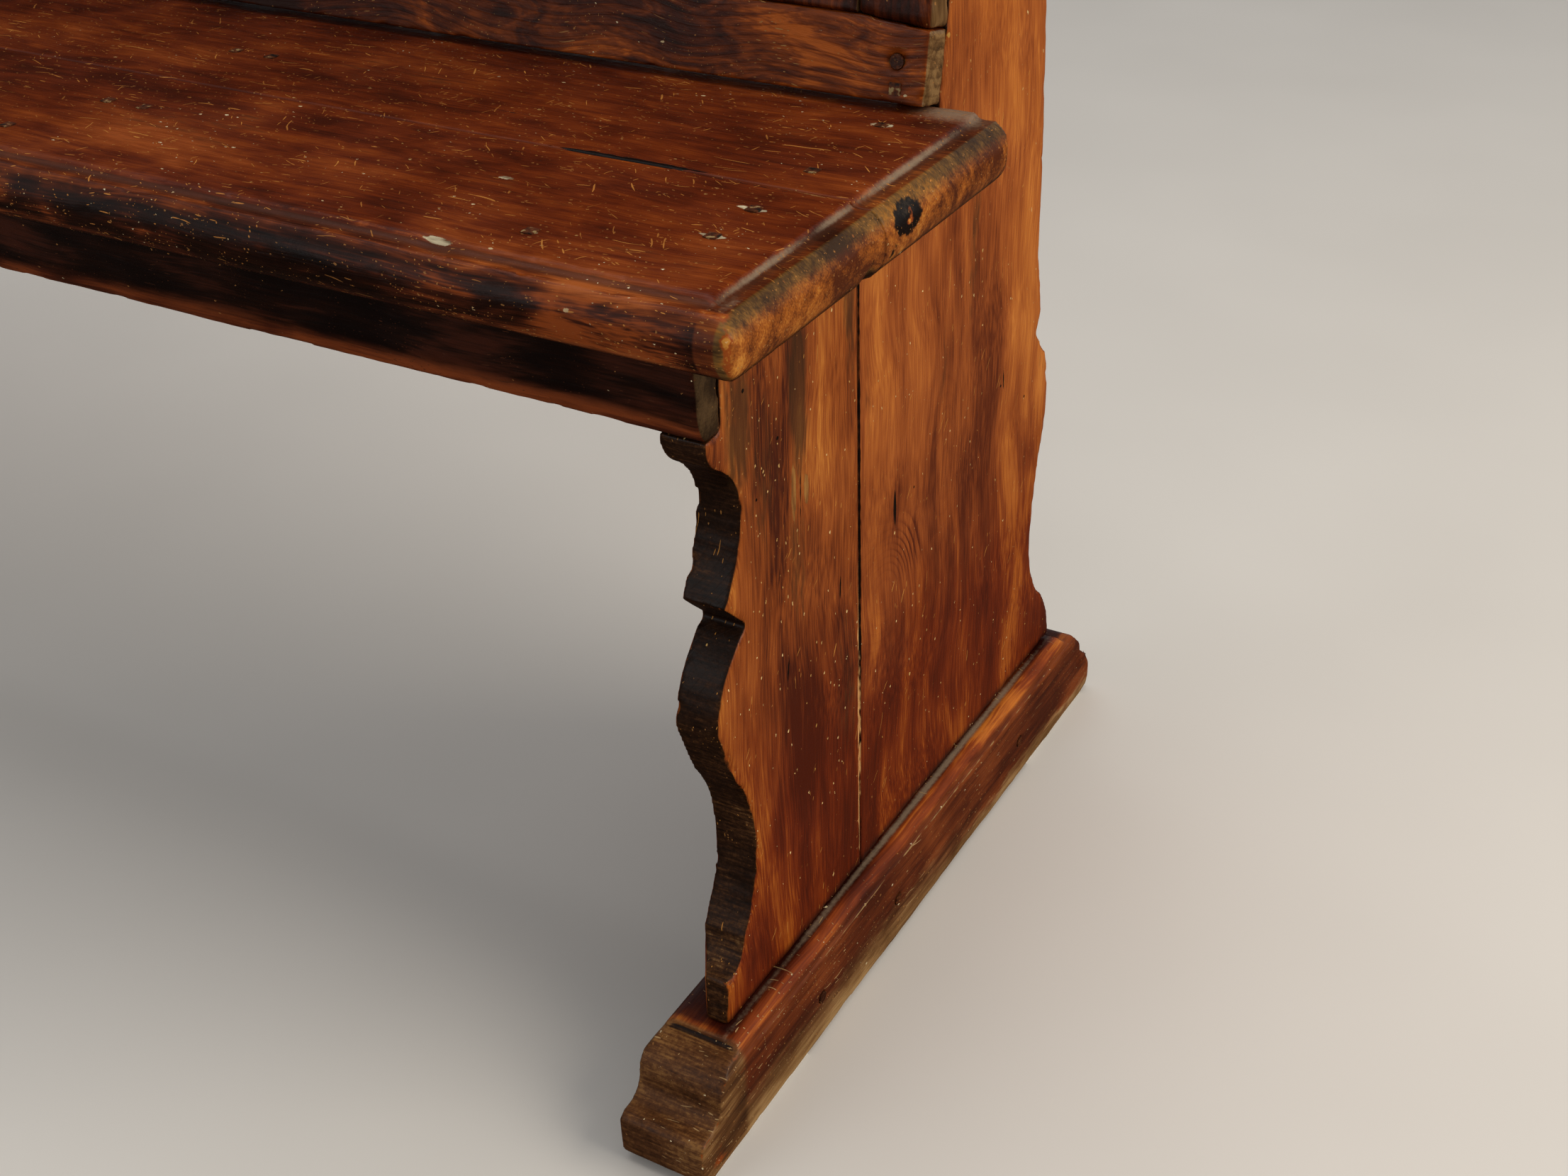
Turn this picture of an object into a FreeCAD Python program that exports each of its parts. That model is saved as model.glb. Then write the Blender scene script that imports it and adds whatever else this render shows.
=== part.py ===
# Plank-ended monks bench. Two scalloped board ends stand on sledge feet and carry
# a two-board seat; their rear planks rise as standards for a raked, panelled back.
# Millimetres, +Z up, front of the bench towards -Y, its right end at +X.
# The origin is on the floor, under the middle of the bench.
import FreeCAD, Part
import math
import os
from FreeCAD import Vector

# Whole bench
bench_span = 1430.0          # between the outer faces of the two ends
end_height = 378.0           # top of the foot to the underside of the seat
end_depth = 412.5            # front tip to rear tip of an end, on the foot
end_thickness = 25.0
back_height = 510.0          # framed back from edge to edge, along its slope
back_rake = 11.3             # degrees that the back leans from upright

# Felt strips under the feet
felt_thickness = 3.0
felt_width = 46.0
felt_front_length = 100.0
felt_rear_length = 92.0
felt_end_inset = 6.0         # strip's end to the toe's bottom arris

# Sledge feet
foot_height = 62.0
foot_width = 50.0
foot_outside = 14.0          # foot's side beyond the outer face of its end
foot_bead_radius = 8.3       # ovolo along both top arrises
foot_bead_quirk = 1.6        # small ledge under that ovolo
toe_step_front = 8.0         # flat top ahead of the end's front tip
toe_step_rear = 0.5
toe_fillet = 4.0             # upright step where a toe's moulding starts
toe_ledge = 6.0
toe_round = 18.0             # radius of the convex part
toe_hollow = 10.5            # radius of the hollow part
toe_flat = 4.0
toe_nose = 5.0               # radius over the nose
toe_bottom_tuck = 4.5        # worn-back bottom arris of a toe
toe_bottom_rise = 10.0
toe_bottom_way = (0.25, 0.4)      # shares of tuck and rise the worn arris passes through

# Planks of an end
front_plank_width = 145.0
plank_gap = 0.8              # opened joint between the two planks
front_set_out = 331.5        # height over which the front scallops are drawn
rear_set_out = 378.0         # height over which the rear scallops are drawn
standard_top_depth = 44.0
standard_shoulder_depth = 126.0   # rear edge behind the back's foot, just above the seat
standard_waist_rise = 64.0   # height above the seat where the rear edge starts its sweep
standard_sweep_sag = 8.0     # hollow of that sweep
standard_bend_swell = 1.5    # fullness of the edge below it
chip_left_over = 12.7        # thickness left at the broken tip of the right end
chip_depth = 22.0
chip_height = 40.0

# Tenons of the planks in the feet
tenon_thickness = 16.0
tenon_length = 54.0
tenon_clearance = 0.2
front_tenon = (25.0, 125.0)  # from and to, behind the front tip
rear_tenons = ((152.0, 232.0), (290.0, 384.0))
foot_peg_diameter = 7.0
foot_peg_drop = 35.0         # below the foot's top
foot_peg_places = (74.0, 165.0, 337.0)   # behind the front tip
peg_clearance = 0.1
peg_flats = 12               # pegs and dowels are whittled to this many flats

# Dowels across the joint of the planks
dowel_diameter = 10.0
dowel_length = 60.0
dowel_count = 3
dowel_lowest = 75.0          # above the foot's top
dowel_highest = 320.0
dowel_clearance = 0.1
dowel_end_room = 1.0

# Seat
seat_thickness = 33.5
seat_front_overhang = 32.5   # nosing ahead of the apron's face
seat_end_overhang = 37.6     # nosing beyond the outer face of an end
seat_depth = 262.0           # nosing to rear edge
seat_front_board = 131.5     # width of the front board
seat_board_gap = 0.3
seat_rear_clearance = 0.3    # rear edge to the standards
seat_corner_radius = 9.0
seat_rear_corner_radius = 3.0

# Moulded edge of the seat, worked on its front and ends
quirk_in = 18.0              # quirk's arris to the nose
quirk_drop = 2.7
quirk_slope = 1.6
cove_width = 8.2
cove_sag = 0.5
nose_drop = 18.0             # top face to the nose's fullest point
front_nose_tuck = 14.0       # bottom arris back from the nose, at the front
end_nose_tuck = 7.6          # and at the ends
nose_shoulder_way = (0.24, 0.6)   # shares of cove width and rise its upper arc passes through
nose_belly_way = (0.27, 0.45)     # shares of tuck and fall its lower arc passes through

# Front apron, let into both ends
apron_setback = 1.5          # behind the line of the front tips
apron_thickness = 18.5
apron_height = 46.5
apron_bevel = 5.8
apron_bevel_height = 13.5
apron_belly_in = 2.1         # fullness of that bevel: its middle, in from the face
apron_belly_rise = 5.9

# Rail under the rear of the seat, and battens across its boards
rear_rail_thickness = 20.0
rear_rail_height = 55.0
rear_rail_inset = 6.0        # behind it, to the line of the seat's rear edge
housing_depth = 8.0
housing_clearance = 0.2
batten_width = 50.0
batten_height = 24.0
batten_count = 3
batten_spacing = 345.0
batten_clearance = 0.3

# Framed back
frame_thickness = 19.3
frame_seat_gap = 0.3         # rear bottom arris above the seat
bottom_rail_height = 39.5
top_rail_height = 60.0
stile_width = 40.0
muntin_width = 45.0
muntin_count = 3
frame_tenon_length = 24.0
frame_tenon_width = 26.0
frame_tenon_clearance = 0.2
shoulder_drop = 3.5          # fall of the end stiles' lower shoulders towards the ends
groove_depth = 8.0
panel_clearance = 0.2
panel_edge_thickness = 7.0
panel_recess = 8.0           # frame's face to the panel's margin
panel_margin = 17.0
panel_bevel = 20.0
panel_raise = 4.0
panel_slack = 0.2            # left round a panel's edge in its groove
bead_width = 9.0             # mitred moulding round each panel
bead_flat = 2.0
bead_toe = 1.2
bead_belly_in = 7.2
bead_belly_depth = 2.3
frame_peg_diameter = 7.4
stile_peg_in = 16.6          # peg's centre from the outer edge of a stile
rail_peg_in = 19.7           # and from the joint, in a rail

# Cap along the top of the back
cap_thickness = 27.0
cap_front_overhang = 14.0
cap_end_overhang = 16.0
cap_rear_overhang = 6.0

# Cut nails
nail_shank = 3.0
nail_head = 6.0
nail_head_thickness = 1.2
seat_nail_length = 62.0
frame_nail_length = 52.0
batten_nail_length = 52.5
cap_nail_length = 55.0
frame_nail_in = 16.3         # from the outer face of an end
frame_nail_lowest = 7.0      # above the back's bottom edge
frame_nail_top_in = 21.0     # below its top edge
frame_nail_count = 4
apron_nail_count = 5
apron_nail_inset = 60.0      # first of them from the inner face of an end
cap_nail_count = 4
cap_nail_inset = 100.0
end_nail_in = 13.0
end_nail_places = (40.0, 74.0, 126.0, 194.0)   # behind the front tip

# How far a cutting shape runs past the face it cuts
over = 1.0

# Levels and lines that follow from the sizes
half_span = bench_span / 2
end_inner = half_span - end_thickness
end_middle = half_span - end_thickness / 2
foot_base = felt_thickness
foot_top = foot_base + foot_height
seat_under = foot_top + end_height
seat_top = seat_under + seat_thickness
apron_bottom = seat_under - apron_height
apron_back = apron_setback + apron_thickness
seat_front = apron_setback - seat_front_overhang
seat_rear = seat_front + seat_depth
seat_joint = seat_front + seat_front_board
standard_face = seat_rear + seat_rear_clearance
seat_end = half_span + seat_end_overhang
toe_run = toe_ledge + toe_round + toe_hollow + toe_flat + toe_nose
foot_front = -toe_step_front - toe_run
foot_rear = end_depth + toe_step_rear + toe_run
foot_outer = half_span + foot_outside
foot_inner = foot_outer - foot_width
bench_middle = (foot_front + foot_rear) / 2    # front to back, measured from the tips
rake_sine = math.sin(math.radians(back_rake))
rake_cosine = math.cos(math.radians(back_rake))


# Shapes from outlines

def on_side(y, z):
    return Vector(0, y, z)


def on_front(x, z):
    return Vector(x, 0, z)


def on_plan(x, y):
    return Vector(x, y, 0)


def outline_face(start, steps, place):
    # A step is an end point, or a point on the way and an end point for an arc.
    edges = []
    here = place(*start)
    for step in steps:
        there = place(*step[-2:])
        if len(step) == 2:
            edges.append(Part.LineSegment(here, there).toShape())
        else:
            edges.append(Part.Arc(here, place(*step[:2]), there).toShape())
        here = there
    return Part.Face(Part.Wire(edges))


def turned_round(start, steps):
    # The same outline walked the other way: its new start and its steps.
    ends = [start, *[step[-2:] for step in steps]]
    back = [(*step[:-2], *end) for step, end in zip(reversed(steps), reversed(ends[:-1]))]
    return ends[-1], back


def side_prism(start, steps, x_from, x_to):
    face = outline_face(start, steps, on_side)
    face.translate(Vector(x_from, 0, 0))
    return face.extrude(Vector(x_to - x_from, 0, 0))


def front_prism(start, steps, y_from, y_to):
    face = outline_face(start, steps, on_front)
    face.translate(Vector(0, y_from, 0))
    return face.extrude(Vector(0, y_to - y_from, 0))


def block(x_from, x_to, y_from, y_to, z_from, z_to):
    return Part.makeBox(x_to - x_from, y_to - y_from, z_to - z_from, Vector(x_from, y_from, z_from))


def mirrored(shape):
    return shape.mirror(Vector(0, 0, 0), Vector(1, 0, 0))


def both_sides(shape):
    return [shape, mirrored(shape)]


def quarter_middle(centre, radius, y_sign, z_sign):
    # The point half way round a quarter circle.
    reach = radius * math.sqrt(0.5)
    return (centre[0] + y_sign * reach, centre[1] + z_sign * reach)


def nosing_steps(nose, outward, top, bottom, tuck):
    # From the flat's arris over the quirk, cove and nose to the bottom arris.
    # outward is +1 or -1: the way in which the nose points.
    full = top - nose_drop
    cove_start = nose - outward * (quirk_in - quirk_slope)
    cove_end = nose - outward * cove_width
    below = top - quirk_drop
    rise = below - full
    fall = full - bottom
    shoulder_in, shoulder_up = nose_shoulder_way
    belly_in, belly_up = nose_belly_way
    shoulder = (nose - outward * cove_width * shoulder_in, full + rise * shoulder_up)
    belly = (nose - outward * tuck * belly_in, bottom + fall * belly_up)
    return [
        (cove_start, below),
        ((cove_start + cove_end) / 2, below - cove_sag, cove_end, below),
        (*shoulder, nose, full),
        (*belly, nose - outward * tuck, bottom),
    ]


def nail(x, y, top, length):
    head = nail_head / 2
    shank = nail_shank / 2
    bottom_of_head = top - nail_head_thickness
    solid = block(x - head, x + head, y - head, y + head, bottom_of_head, top)
    return solid.fuse(block(x - shank, x + shank, y - shank, y + shank, top - length, bottom_of_head))


def peg(radius, start, along, length):
    # Whittled: a prism on corners that lie on a circle. along is a level direction.
    up = Vector(0, 0, 1)
    aside = along.cross(up)
    corners = []
    for index in range(peg_flats):
        turn = 2 * math.pi * (index + 0.5) / peg_flats
        corners.append(start + aside * (radius * math.cos(turn)) + up * (radius * math.sin(turn)))
    face = Part.Face(Part.makePolygon([*corners, corners[0]]))
    return face.extrude(along * length)


def spread(first, last, count):
    if count == 1:
        return [(first + last) / 2]
    return [first + (last - first) * i / (count - 1) for i in range(count)]


# Sledge foot of the right end

def toe_steps(tip, outward):
    # One toe's moulding in profile, from its top step down to the bottom arris.
    step_foot = foot_top - toe_fillet
    round_centre = (tip + outward * toe_ledge, step_foot - toe_round)
    hollow_centre = (round_centre[0] + outward * (toe_round + toe_hollow), round_centre[1])
    shelf = round_centre[1] - toe_hollow
    nose_centre = (hollow_centre[0] + outward * toe_flat, shelf - toe_nose)
    nose = nose_centre[0] + outward * toe_nose
    tuck_share, rise_share = toe_bottom_way
    worn = (nose - outward * toe_bottom_tuck * tuck_share, foot_base + toe_bottom_rise * rise_share)
    return [
        (tip, step_foot),
        (round_centre[0], step_foot),
        (*quarter_middle(round_centre, toe_round, outward, 1),
         round_centre[0] + outward * toe_round, round_centre[1]),
        (*quarter_middle(hollow_centre, toe_hollow, -outward, -1), hollow_centre[0], shelf),
        (nose_centre[0], shelf),
        (*quarter_middle(nose_centre, toe_nose, outward, 1), nose, nose_centre[1]),
        (nose, foot_base + toe_bottom_rise),
        (*worn, nose - outward * toe_bottom_tuck, foot_base),
    ]


def foot_profile():
    front_tip = (-toe_step_front, foot_top)
    rear_tip = (end_depth + toe_step_rear, foot_top)
    start, rising = turned_round(front_tip, toe_steps(front_tip[0], -1))
    steps = [*rising, rear_tip, *toe_steps(rear_tip[0], 1), start]
    return side_prism(start, steps, foot_inner, foot_outer)


def foot_section():
    # Square below, with an ovolo and its quirk along both top arrises.
    radius = foot_bead_radius
    bead_foot = foot_top - radius
    left_centre = (foot_inner + foot_bead_quirk + radius, bead_foot)
    right_centre = (foot_outer - foot_bead_quirk - radius, bead_foot)
    start = (foot_inner, foot_base)
    steps = [
        (foot_inner, bead_foot),
        (foot_inner + foot_bead_quirk, bead_foot),
        (*quarter_middle(left_centre, radius, -1, 1), left_centre[0], foot_top),
        (right_centre[0], foot_top),
        (*quarter_middle(right_centre, radius, 1, 1), foot_outer - foot_bead_quirk, bead_foot),
        (foot_outer, bead_foot),
        (foot_outer, foot_base),
        start,
    ]
    return front_prism(start, steps, foot_front - over, foot_rear + over)


def foot_pegs(radius=foot_peg_diameter / 2, beyond=0.0):
    length = foot_width + 2 * beyond
    level = foot_top - foot_peg_drop
    return [peg(radius, Vector(foot_inner - beyond, y, level), Vector(1, 0, 0), length)
            for y in foot_peg_places]


def foot_peg_holes():
    return foot_pegs(foot_peg_diameter / 2 + peg_clearance, over)


def foot():
    solid = foot_profile().common(foot_section())
    half = tenon_thickness / 2 + tenon_clearance
    floor = foot_top - tenon_length - tenon_clearance
    cuts = foot_peg_holes()
    for front, rear in [front_tenon, *rear_tenons]:
        cuts.append(block(end_middle - half, end_middle + half,
                          front - tenon_clearance, rear + tenon_clearance, floor, foot_top + over))
    return solid.cut(cuts)


def felt_strip(y_from, y_to):
    middle = (foot_inner + foot_outer) / 2
    return block(middle - felt_width / 2, middle + felt_width / 2, y_from, y_to, 0, felt_thickness)


def front_felt():
    start = foot_front + toe_bottom_tuck + felt_end_inset
    return felt_strip(start, start + felt_front_length)


def rear_felt():
    end = foot_rear - toe_bottom_tuck - felt_end_inset
    return felt_strip(end - felt_rear_length, end)


# Planks of the right end

def front_level(height):
    # Scallop heights, stretched between the foot and the apron.
    return foot_top + height * (apron_bottom - foot_top) / front_set_out


def rear_level(height):
    return foot_top + height * end_height / rear_set_out


def raked(along, depth):
    # A point of the back's side view: along its slope, and in depth behind its rear face.
    y = standard_face + along * rake_sine + depth * rake_cosine
    z = seat_top + along * rake_cosine - depth * rake_sine
    return (y, z)


def front_scallops():
    up = front_level
    bevel_line = apron_setback + apron_bevel
    return [
        (3.5, up(26)),
        (14.0, up(31), 20.0, up(44)),
        (34.8, up(84), 19.0, up(143.5)),
        (5.5, up(179)),
        (14.0, up(205), 35.0, up(224.5)),
        (17.0, up(241.5)),
        (28.5, up(262), 33.5, up(284)),
        (29.0, up(302), 16.5, up(313.5)),
        (9.5, up(321), bevel_line, up(331.5)),
    ]


def rear_scallops():
    # Down from the standard's straight part to the rear tip on the foot.
    up = rear_level
    edge = end_depth
    return [
        (edge - 46.0, up(325)),
        (edge - 46.0, up(282)),
        (edge - 41.0, up(265), edge - 37.5, up(246)),
        (edge - 44.0, up(235)),
        (edge - 28.0, up(217)),
        (edge - 22.6, up(190), edge - 26.5, up(160)),
        (edge - 34.5, up(128), edge - 38.5, up(96)),
        (edge - 34.5, up(67), edge - 20.5, up(45)),
        (edge - 7.5, up(26), edge, foot_top),
    ]


def end_board():
    top_front = raked(back_height, 0)
    top_rear = raked(back_height, standard_top_depth)
    waist = (standard_face + standard_shoulder_depth, seat_top + standard_waist_rise)
    scallops = rear_scallops()
    straight = scallops[0]
    sweep = ((waist[0] + top_rear[0]) / 2 - standard_sweep_sag, (waist[1] + top_rear[1]) / 2)
    bend = ((waist[0] + straight[0]) / 2 + standard_bend_swell, (waist[1] + straight[1]) / 2)
    steps = [
        *front_scallops(),
        (apron_setback, apron_bottom + apron_bevel_height),
        (apron_setback, seat_under),
        (standard_face, seat_under),
        (standard_face, seat_top),
        top_front,
        top_rear,
        (*sweep, *waist),
        (*bend, *straight),
        *scallops[1:],
        (0, foot_top),
    ]
    return side_prism((0, foot_top), steps, end_inner, half_span)


def tip_chip():
    # Where the inner corner of the right front tip has broken away.
    near = half_span - chip_left_over
    far = end_inner - over
    corners = [(near, -over), (far, -over), (far, chip_depth), (near, -over)]
    face = Part.Face(Part.makePolygon([Vector(x, y, foot_top) for x, y in corners]))
    return face.extrude(Vector(0, 0, chip_height))


def plank_tenons(spans):
    half = tenon_thickness / 2
    return [block(end_middle - half, end_middle + half, front, rear, foot_top - tenon_length, foot_top)
            for front, rear in spans]


def dowel_levels():
    return spread(foot_top + dowel_lowest, foot_top + dowel_highest, dowel_count)


def dowels(radius, length):
    solids = []
    for level in dowel_levels():
        start = Vector(end_middle, front_plank_width - length / 2, level)
        solids.append(peg(radius, start, Vector(0, 1, 0), length))
    return solids


def rear_rail_blank(x_reach):
    rear = seat_rear - rear_rail_inset
    return block(-x_reach, x_reach, rear - rear_rail_thickness, rear,
                 seat_under - rear_rail_height, seat_under)


def end_planks():
    board = end_board()
    low = foot_top - over
    high = raked(back_height, 0)[1] + over
    near = end_inner - over
    far = half_span + over
    half_gap = plank_gap / 2
    front_half = block(near, far, foot_front, front_plank_width - half_gap, low, high)
    rear_half = block(near, far, front_plank_width + half_gap, foot_rear, low, high)
    notch = block(near, far, foot_front, apron_back, apron_bottom, seat_under + over)
    housing = rear_rail_blank(end_inner + housing_depth + housing_clearance)
    holes = dowels(dowel_diameter / 2 + dowel_clearance, dowel_length + 2 * dowel_end_room)
    cuts = [*holes, *foot_peg_holes(), *end_nails(), notch, housing, *on_slope(frame_nails_upright())]
    front = board.common(front_half).fuse(plank_tenons([front_tenon])).cut(cuts)
    rear = board.common(rear_half).fuse(plank_tenons(rear_tenons)).cut(cuts)
    return front.removeSplitter(), rear.removeSplitter()


# Seat, apron, rail and battens

def corners_rounded(solid, radius, y_from, y_to):
    # Rounds the upright corners whose place is between the two depths.
    edges = []
    for edge in solid.Edges:
        box = edge.BoundBox
        if box.ZLength > seat_thickness / 2 and y_from < box.Center.y < y_to:
            edges.append(edge)
    return solid.makeFillet(radius, edges)


def seat_plan():
    solid = block(-seat_end, seat_end, seat_front, seat_rear, seat_under, seat_top)
    solid = corners_rounded(solid, seat_corner_radius, seat_front - over, seat_joint)
    return corners_rounded(solid, seat_rear_corner_radius, seat_joint, seat_rear + over)


def moulded_length(half_length, top, bottom, y_from, y_to):
    # A bar with the moulded edge on both of its ends.
    right_arris = (half_length - quirk_in, top)
    left_arris = (-half_length + quirk_in, top)
    right = nosing_steps(half_length, 1, top, bottom, end_nose_tuck)
    left = nosing_steps(-half_length, -1, top, bottom, end_nose_tuck)
    bottom_left, rising = turned_round(left_arris, left)
    return front_prism(right_arris, [*right, bottom_left, *rising, right_arris], y_from, y_to)


def seat_boards():
    lengthwise = moulded_length(seat_end, seat_top, seat_under, seat_front, seat_rear)
    arris = (seat_front + quirk_in, seat_top)
    front_edge = nosing_steps(seat_front, -1, seat_top, seat_under, front_nose_tuck)
    steps = [*front_edge, (seat_rear, seat_under), (seat_rear, seat_top), arris]
    crosswise = side_prism(arris, steps, -seat_end, seat_end)
    whole = lengthwise.common(crosswise).common(seat_plan())
    half_gap = seat_board_gap / 2
    spans = ((seat_front - over, seat_joint - half_gap), (seat_joint + half_gap, seat_rear + over))
    boards = []
    for front, rear in spans:
        part = block(-seat_end - over, seat_end + over, front, rear, seat_under - over, seat_top + over)
        boards.append(whole.common(part).cut(seat_nails()))
    return boards


def apron():
    top = (apron_setback, seat_under)
    bevel_top = (apron_setback, apron_bottom + apron_bevel_height)
    belly = (apron_setback + apron_belly_in, apron_bottom + apron_belly_rise)
    solid = side_prism(
        top,
        [bevel_top, (*belly, apron_setback + apron_bevel, apron_bottom), (apron_back, apron_bottom),
         (apron_back, seat_under), top],
        -half_span, half_span)
    return solid.cut(apron_nails())


def rear_rail():
    return rear_rail_blank(end_inner + housing_depth)


def batten_places():
    reach = batten_spacing * (batten_count - 1) / 2
    return spread(-reach, reach, batten_count)


def batten(x):
    front = apron_back + batten_clearance
    rear = seat_rear - rear_rail_inset - rear_rail_thickness - batten_clearance
    solid = block(x - batten_width / 2, x + batten_width / 2, front, rear,
                  seat_under - batten_height, seat_under)
    return solid.cut(batten_nails())


def end_nails():
    x = half_span - end_nail_in
    return [nail(x, y, seat_top, seat_nail_length) for y in end_nail_places]


def batten_nails():
    offset = batten_width / 4
    front_row = (apron_back + seat_joint) / 2
    rear_row = (seat_joint + seat_rear - rear_rail_inset - rear_rail_thickness) / 2
    return [nail(x + side * offset, y, seat_top, batten_nail_length)
            for x in batten_places() for side in (-1, 1) for y in (front_row, rear_row)]


def apron_nails():
    y = (apron_setback + apron_back) / 2
    reach = end_inner - apron_nail_inset
    return [nail(x, y, seat_top, seat_nail_length) for x in spread(-reach, reach, apron_nail_count)]


def seat_nails():
    right = end_nails()
    return [*right, *[mirrored(one) for one in right], *batten_nails(), *apron_nails()]


# Framed back. It is set out upright: its face at y = 0, its bottom edge at z = 0.

def on_slope(shapes):
    # The rear bottom arris comes down to the seat, the rear face to the standards.
    placed = []
    foot_y, foot_z = raked(frame_seat_gap, -frame_thickness)
    for shape in shapes:
        copy = shape.copy()
        copy.rotate(Vector(0, 0, 0), Vector(1, 0, 0), -back_rake)
        copy.translate(Vector(0, foot_y, foot_z))
        placed.append(copy)
    return placed


def upright_edges():
    # Left and right edges of each stile and muntin.
    clear = bench_span - 2 * stile_width - muntin_count * muntin_width
    opening = clear / (muntin_count + 1)
    edges = [(-half_span, -half_span + stile_width)]
    for _ in range(muntin_count):
        left = edges[-1][1] + opening
        edges.append((left, left + muntin_width))
    edges.append((half_span - stile_width, half_span))
    return edges


def opening_spans():
    edges = upright_edges()
    return [(one[1], other[0]) for one, other in zip(edges, edges[1:])]


def tongue_span():
    return (panel_recess, panel_recess + panel_edge_thickness)


def frame_tenons(grow):
    front, rear = tongue_span()
    solids = []
    lower = bottom_rail_height
    upper = back_height - top_rail_height
    reach = frame_tenon_length + grow
    for left, right in upright_edges():
        middle = (left + right) / 2
        x_from = middle - frame_tenon_width / 2 - grow
        x_to = middle + frame_tenon_width / 2 + grow
        for z_from, z_to in ((lower - reach, lower), (upper, upper + reach)):
            solids.append(block(x_from, x_to, front - grow, rear + grow, z_from, z_to))
    return solids


def frame_peg_places():
    edges = upright_edges()
    columns = [-half_span + stile_peg_in]
    columns += [(left + right) / 2 for left, right in edges[1:-1]]
    columns.append(half_span - stile_peg_in)
    levels = (bottom_rail_height - rail_peg_in, back_height - top_rail_height + rail_peg_in)
    return [(x, z) for x in columns for z in levels]


def frame_pegs_upright(grow):
    radius = frame_peg_diameter / 2 + grow
    return [peg(radius, Vector(x, 0, z), Vector(0, 1, 0), frame_thickness)
            for x, z in frame_peg_places()]


def frame_nails_upright():
    # Driven in from the face, through stiles and rails, into the standards.
    solids = []
    highest = back_height - frame_nail_top_in
    for level in spread(frame_nail_lowest, highest, frame_nail_count):
        one = nail(0, 0, 0, frame_nail_length)
        one.rotate(Vector(0, 0, 0), Vector(1, 0, 0), 90)
        one.translate(Vector(half_span - frame_nail_in, 0, level))
        solids += both_sides(one)
    return solids


def panel_groove(x_from, x_to, z_from, z_to):
    front, rear = tongue_span()
    return block(x_from, x_to, front - panel_clearance, rear + panel_clearance, z_from, z_to)


def frame_cuts():
    return [*frame_pegs_upright(peg_clearance), *frame_nails_upright()]


def shoulder_wedges():
    # What the sloping shoulders take from the bottom rail and give to the end stiles.
    corner = (half_span - stile_width, bottom_rail_height)
    steps = [(half_span, bottom_rail_height), (half_span, bottom_rail_height - shoulder_drop), corner]
    return both_sides(front_prism(corner, steps, 0, frame_thickness))


def bottom_rail():
    solid = block(-half_span, half_span, 0, frame_thickness, 0, bottom_rail_height)
    reach = half_span - stile_width
    groove = panel_groove(-reach, reach, bottom_rail_height - groove_depth, bottom_rail_height + over)
    return solid.cut([*shoulder_wedges(), groove, *frame_tenons(frame_tenon_clearance), *frame_cuts()])


def top_rail():
    lower = back_height - top_rail_height
    solid = block(-half_span, half_span, 0, frame_thickness, lower, back_height)
    reach = half_span - stile_width
    groove = panel_groove(-reach, reach, lower - over, lower + groove_depth)
    return solid.cut([groove, *frame_tenons(frame_tenon_clearance), *frame_cuts(), *cap_nails_upright()])


def frame_upright(index):
    left, right = upright_edges()[index]
    lower = bottom_rail_height
    upper = back_height - top_rail_height
    solid = block(left, right, 0, frame_thickness, lower, upper)
    if right == half_span:
        solid = solid.fuse(shoulder_wedges()[0])
    if left == -half_span:
        solid = solid.fuse(shoulder_wedges()[1])
    cuts = frame_cuts()
    if left > -half_span:
        cuts.append(panel_groove(left - over, left + groove_depth, lower - over, upper + over))
    if right < half_span:
        cuts.append(panel_groove(right - groove_depth, right + over, lower - over, upper + over))
    tenons = frame_tenons(0)[2 * index:2 * index + 2]
    pegs = frame_pegs_upright(peg_clearance)
    return solid.cut(cuts).fuse([tenon.cut(pegs) for tenon in tenons]).removeSplitter()


def rectangle_wire(x_from, x_to, y, z_from, z_to):
    corners = [(x_from, z_from), (x_to, z_from), (x_to, z_to), (x_from, z_to), (x_from, z_from)]
    return Part.makePolygon([Vector(x, y, z) for x, z in corners])


def panel(index):
    # Raised and fielded, its edge running in the grooves.
    left, right = opening_spans()[index]
    lower = bottom_rail_height
    upper = back_height - top_rail_height
    front, rear = tongue_span()
    reach = groove_depth - panel_slack
    solid = block(left - reach, right + reach, front, rear, lower - reach, upper + reach)
    far = panel_margin + panel_bevel
    base = rectangle_wire(left + panel_margin, right - panel_margin, front,
                          lower + panel_margin, upper - panel_margin)
    field = rectangle_wire(left + far, right - far, front - panel_raise, lower + far, upper - far)
    return solid.fuse(Part.makeLoft([base, field], True, True))


def bead_end(corner_x, corner_z, x_way, z_way):
    # Section of the moulding on a mitre; both ways point into the opening.
    def at(inward, depth):
        return Vector(corner_x + x_way * inward, depth, corner_z + z_way * inward)
    toe_depth = panel_recess - bead_toe
    belly = at(bead_belly_in, bead_belly_depth)
    edges = [
        Part.LineSegment(at(0, 0), at(bead_flat, 0)).toShape(),
        Part.Arc(at(bead_flat, 0), belly, at(bead_width, toe_depth)).toShape(),
        Part.LineSegment(at(bead_width, toe_depth), at(bead_width, panel_recess)).toShape(),
        Part.LineSegment(at(bead_width, panel_recess), at(0, panel_recess)).toShape(),
        Part.LineSegment(at(0, panel_recess), at(0, 0)).toShape(),
    ]
    return Part.Wire(edges)


def panel_beads(index):
    left, right = opening_spans()[index]
    lower = bottom_rail_height
    upper = back_height - top_rail_height
    corners = [(left, lower, 1, 1), (right, lower, -1, 1), (right, upper, -1, -1), (left, upper, 1, -1)]
    beads = []
    for one, other in zip(corners, [*corners[1:], corners[0]]):
        beads.append(Part.makeLoft([bead_end(*one), bead_end(*other)], True, True))
    return beads


# Cap on the top rail and the heads of the standards

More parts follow.
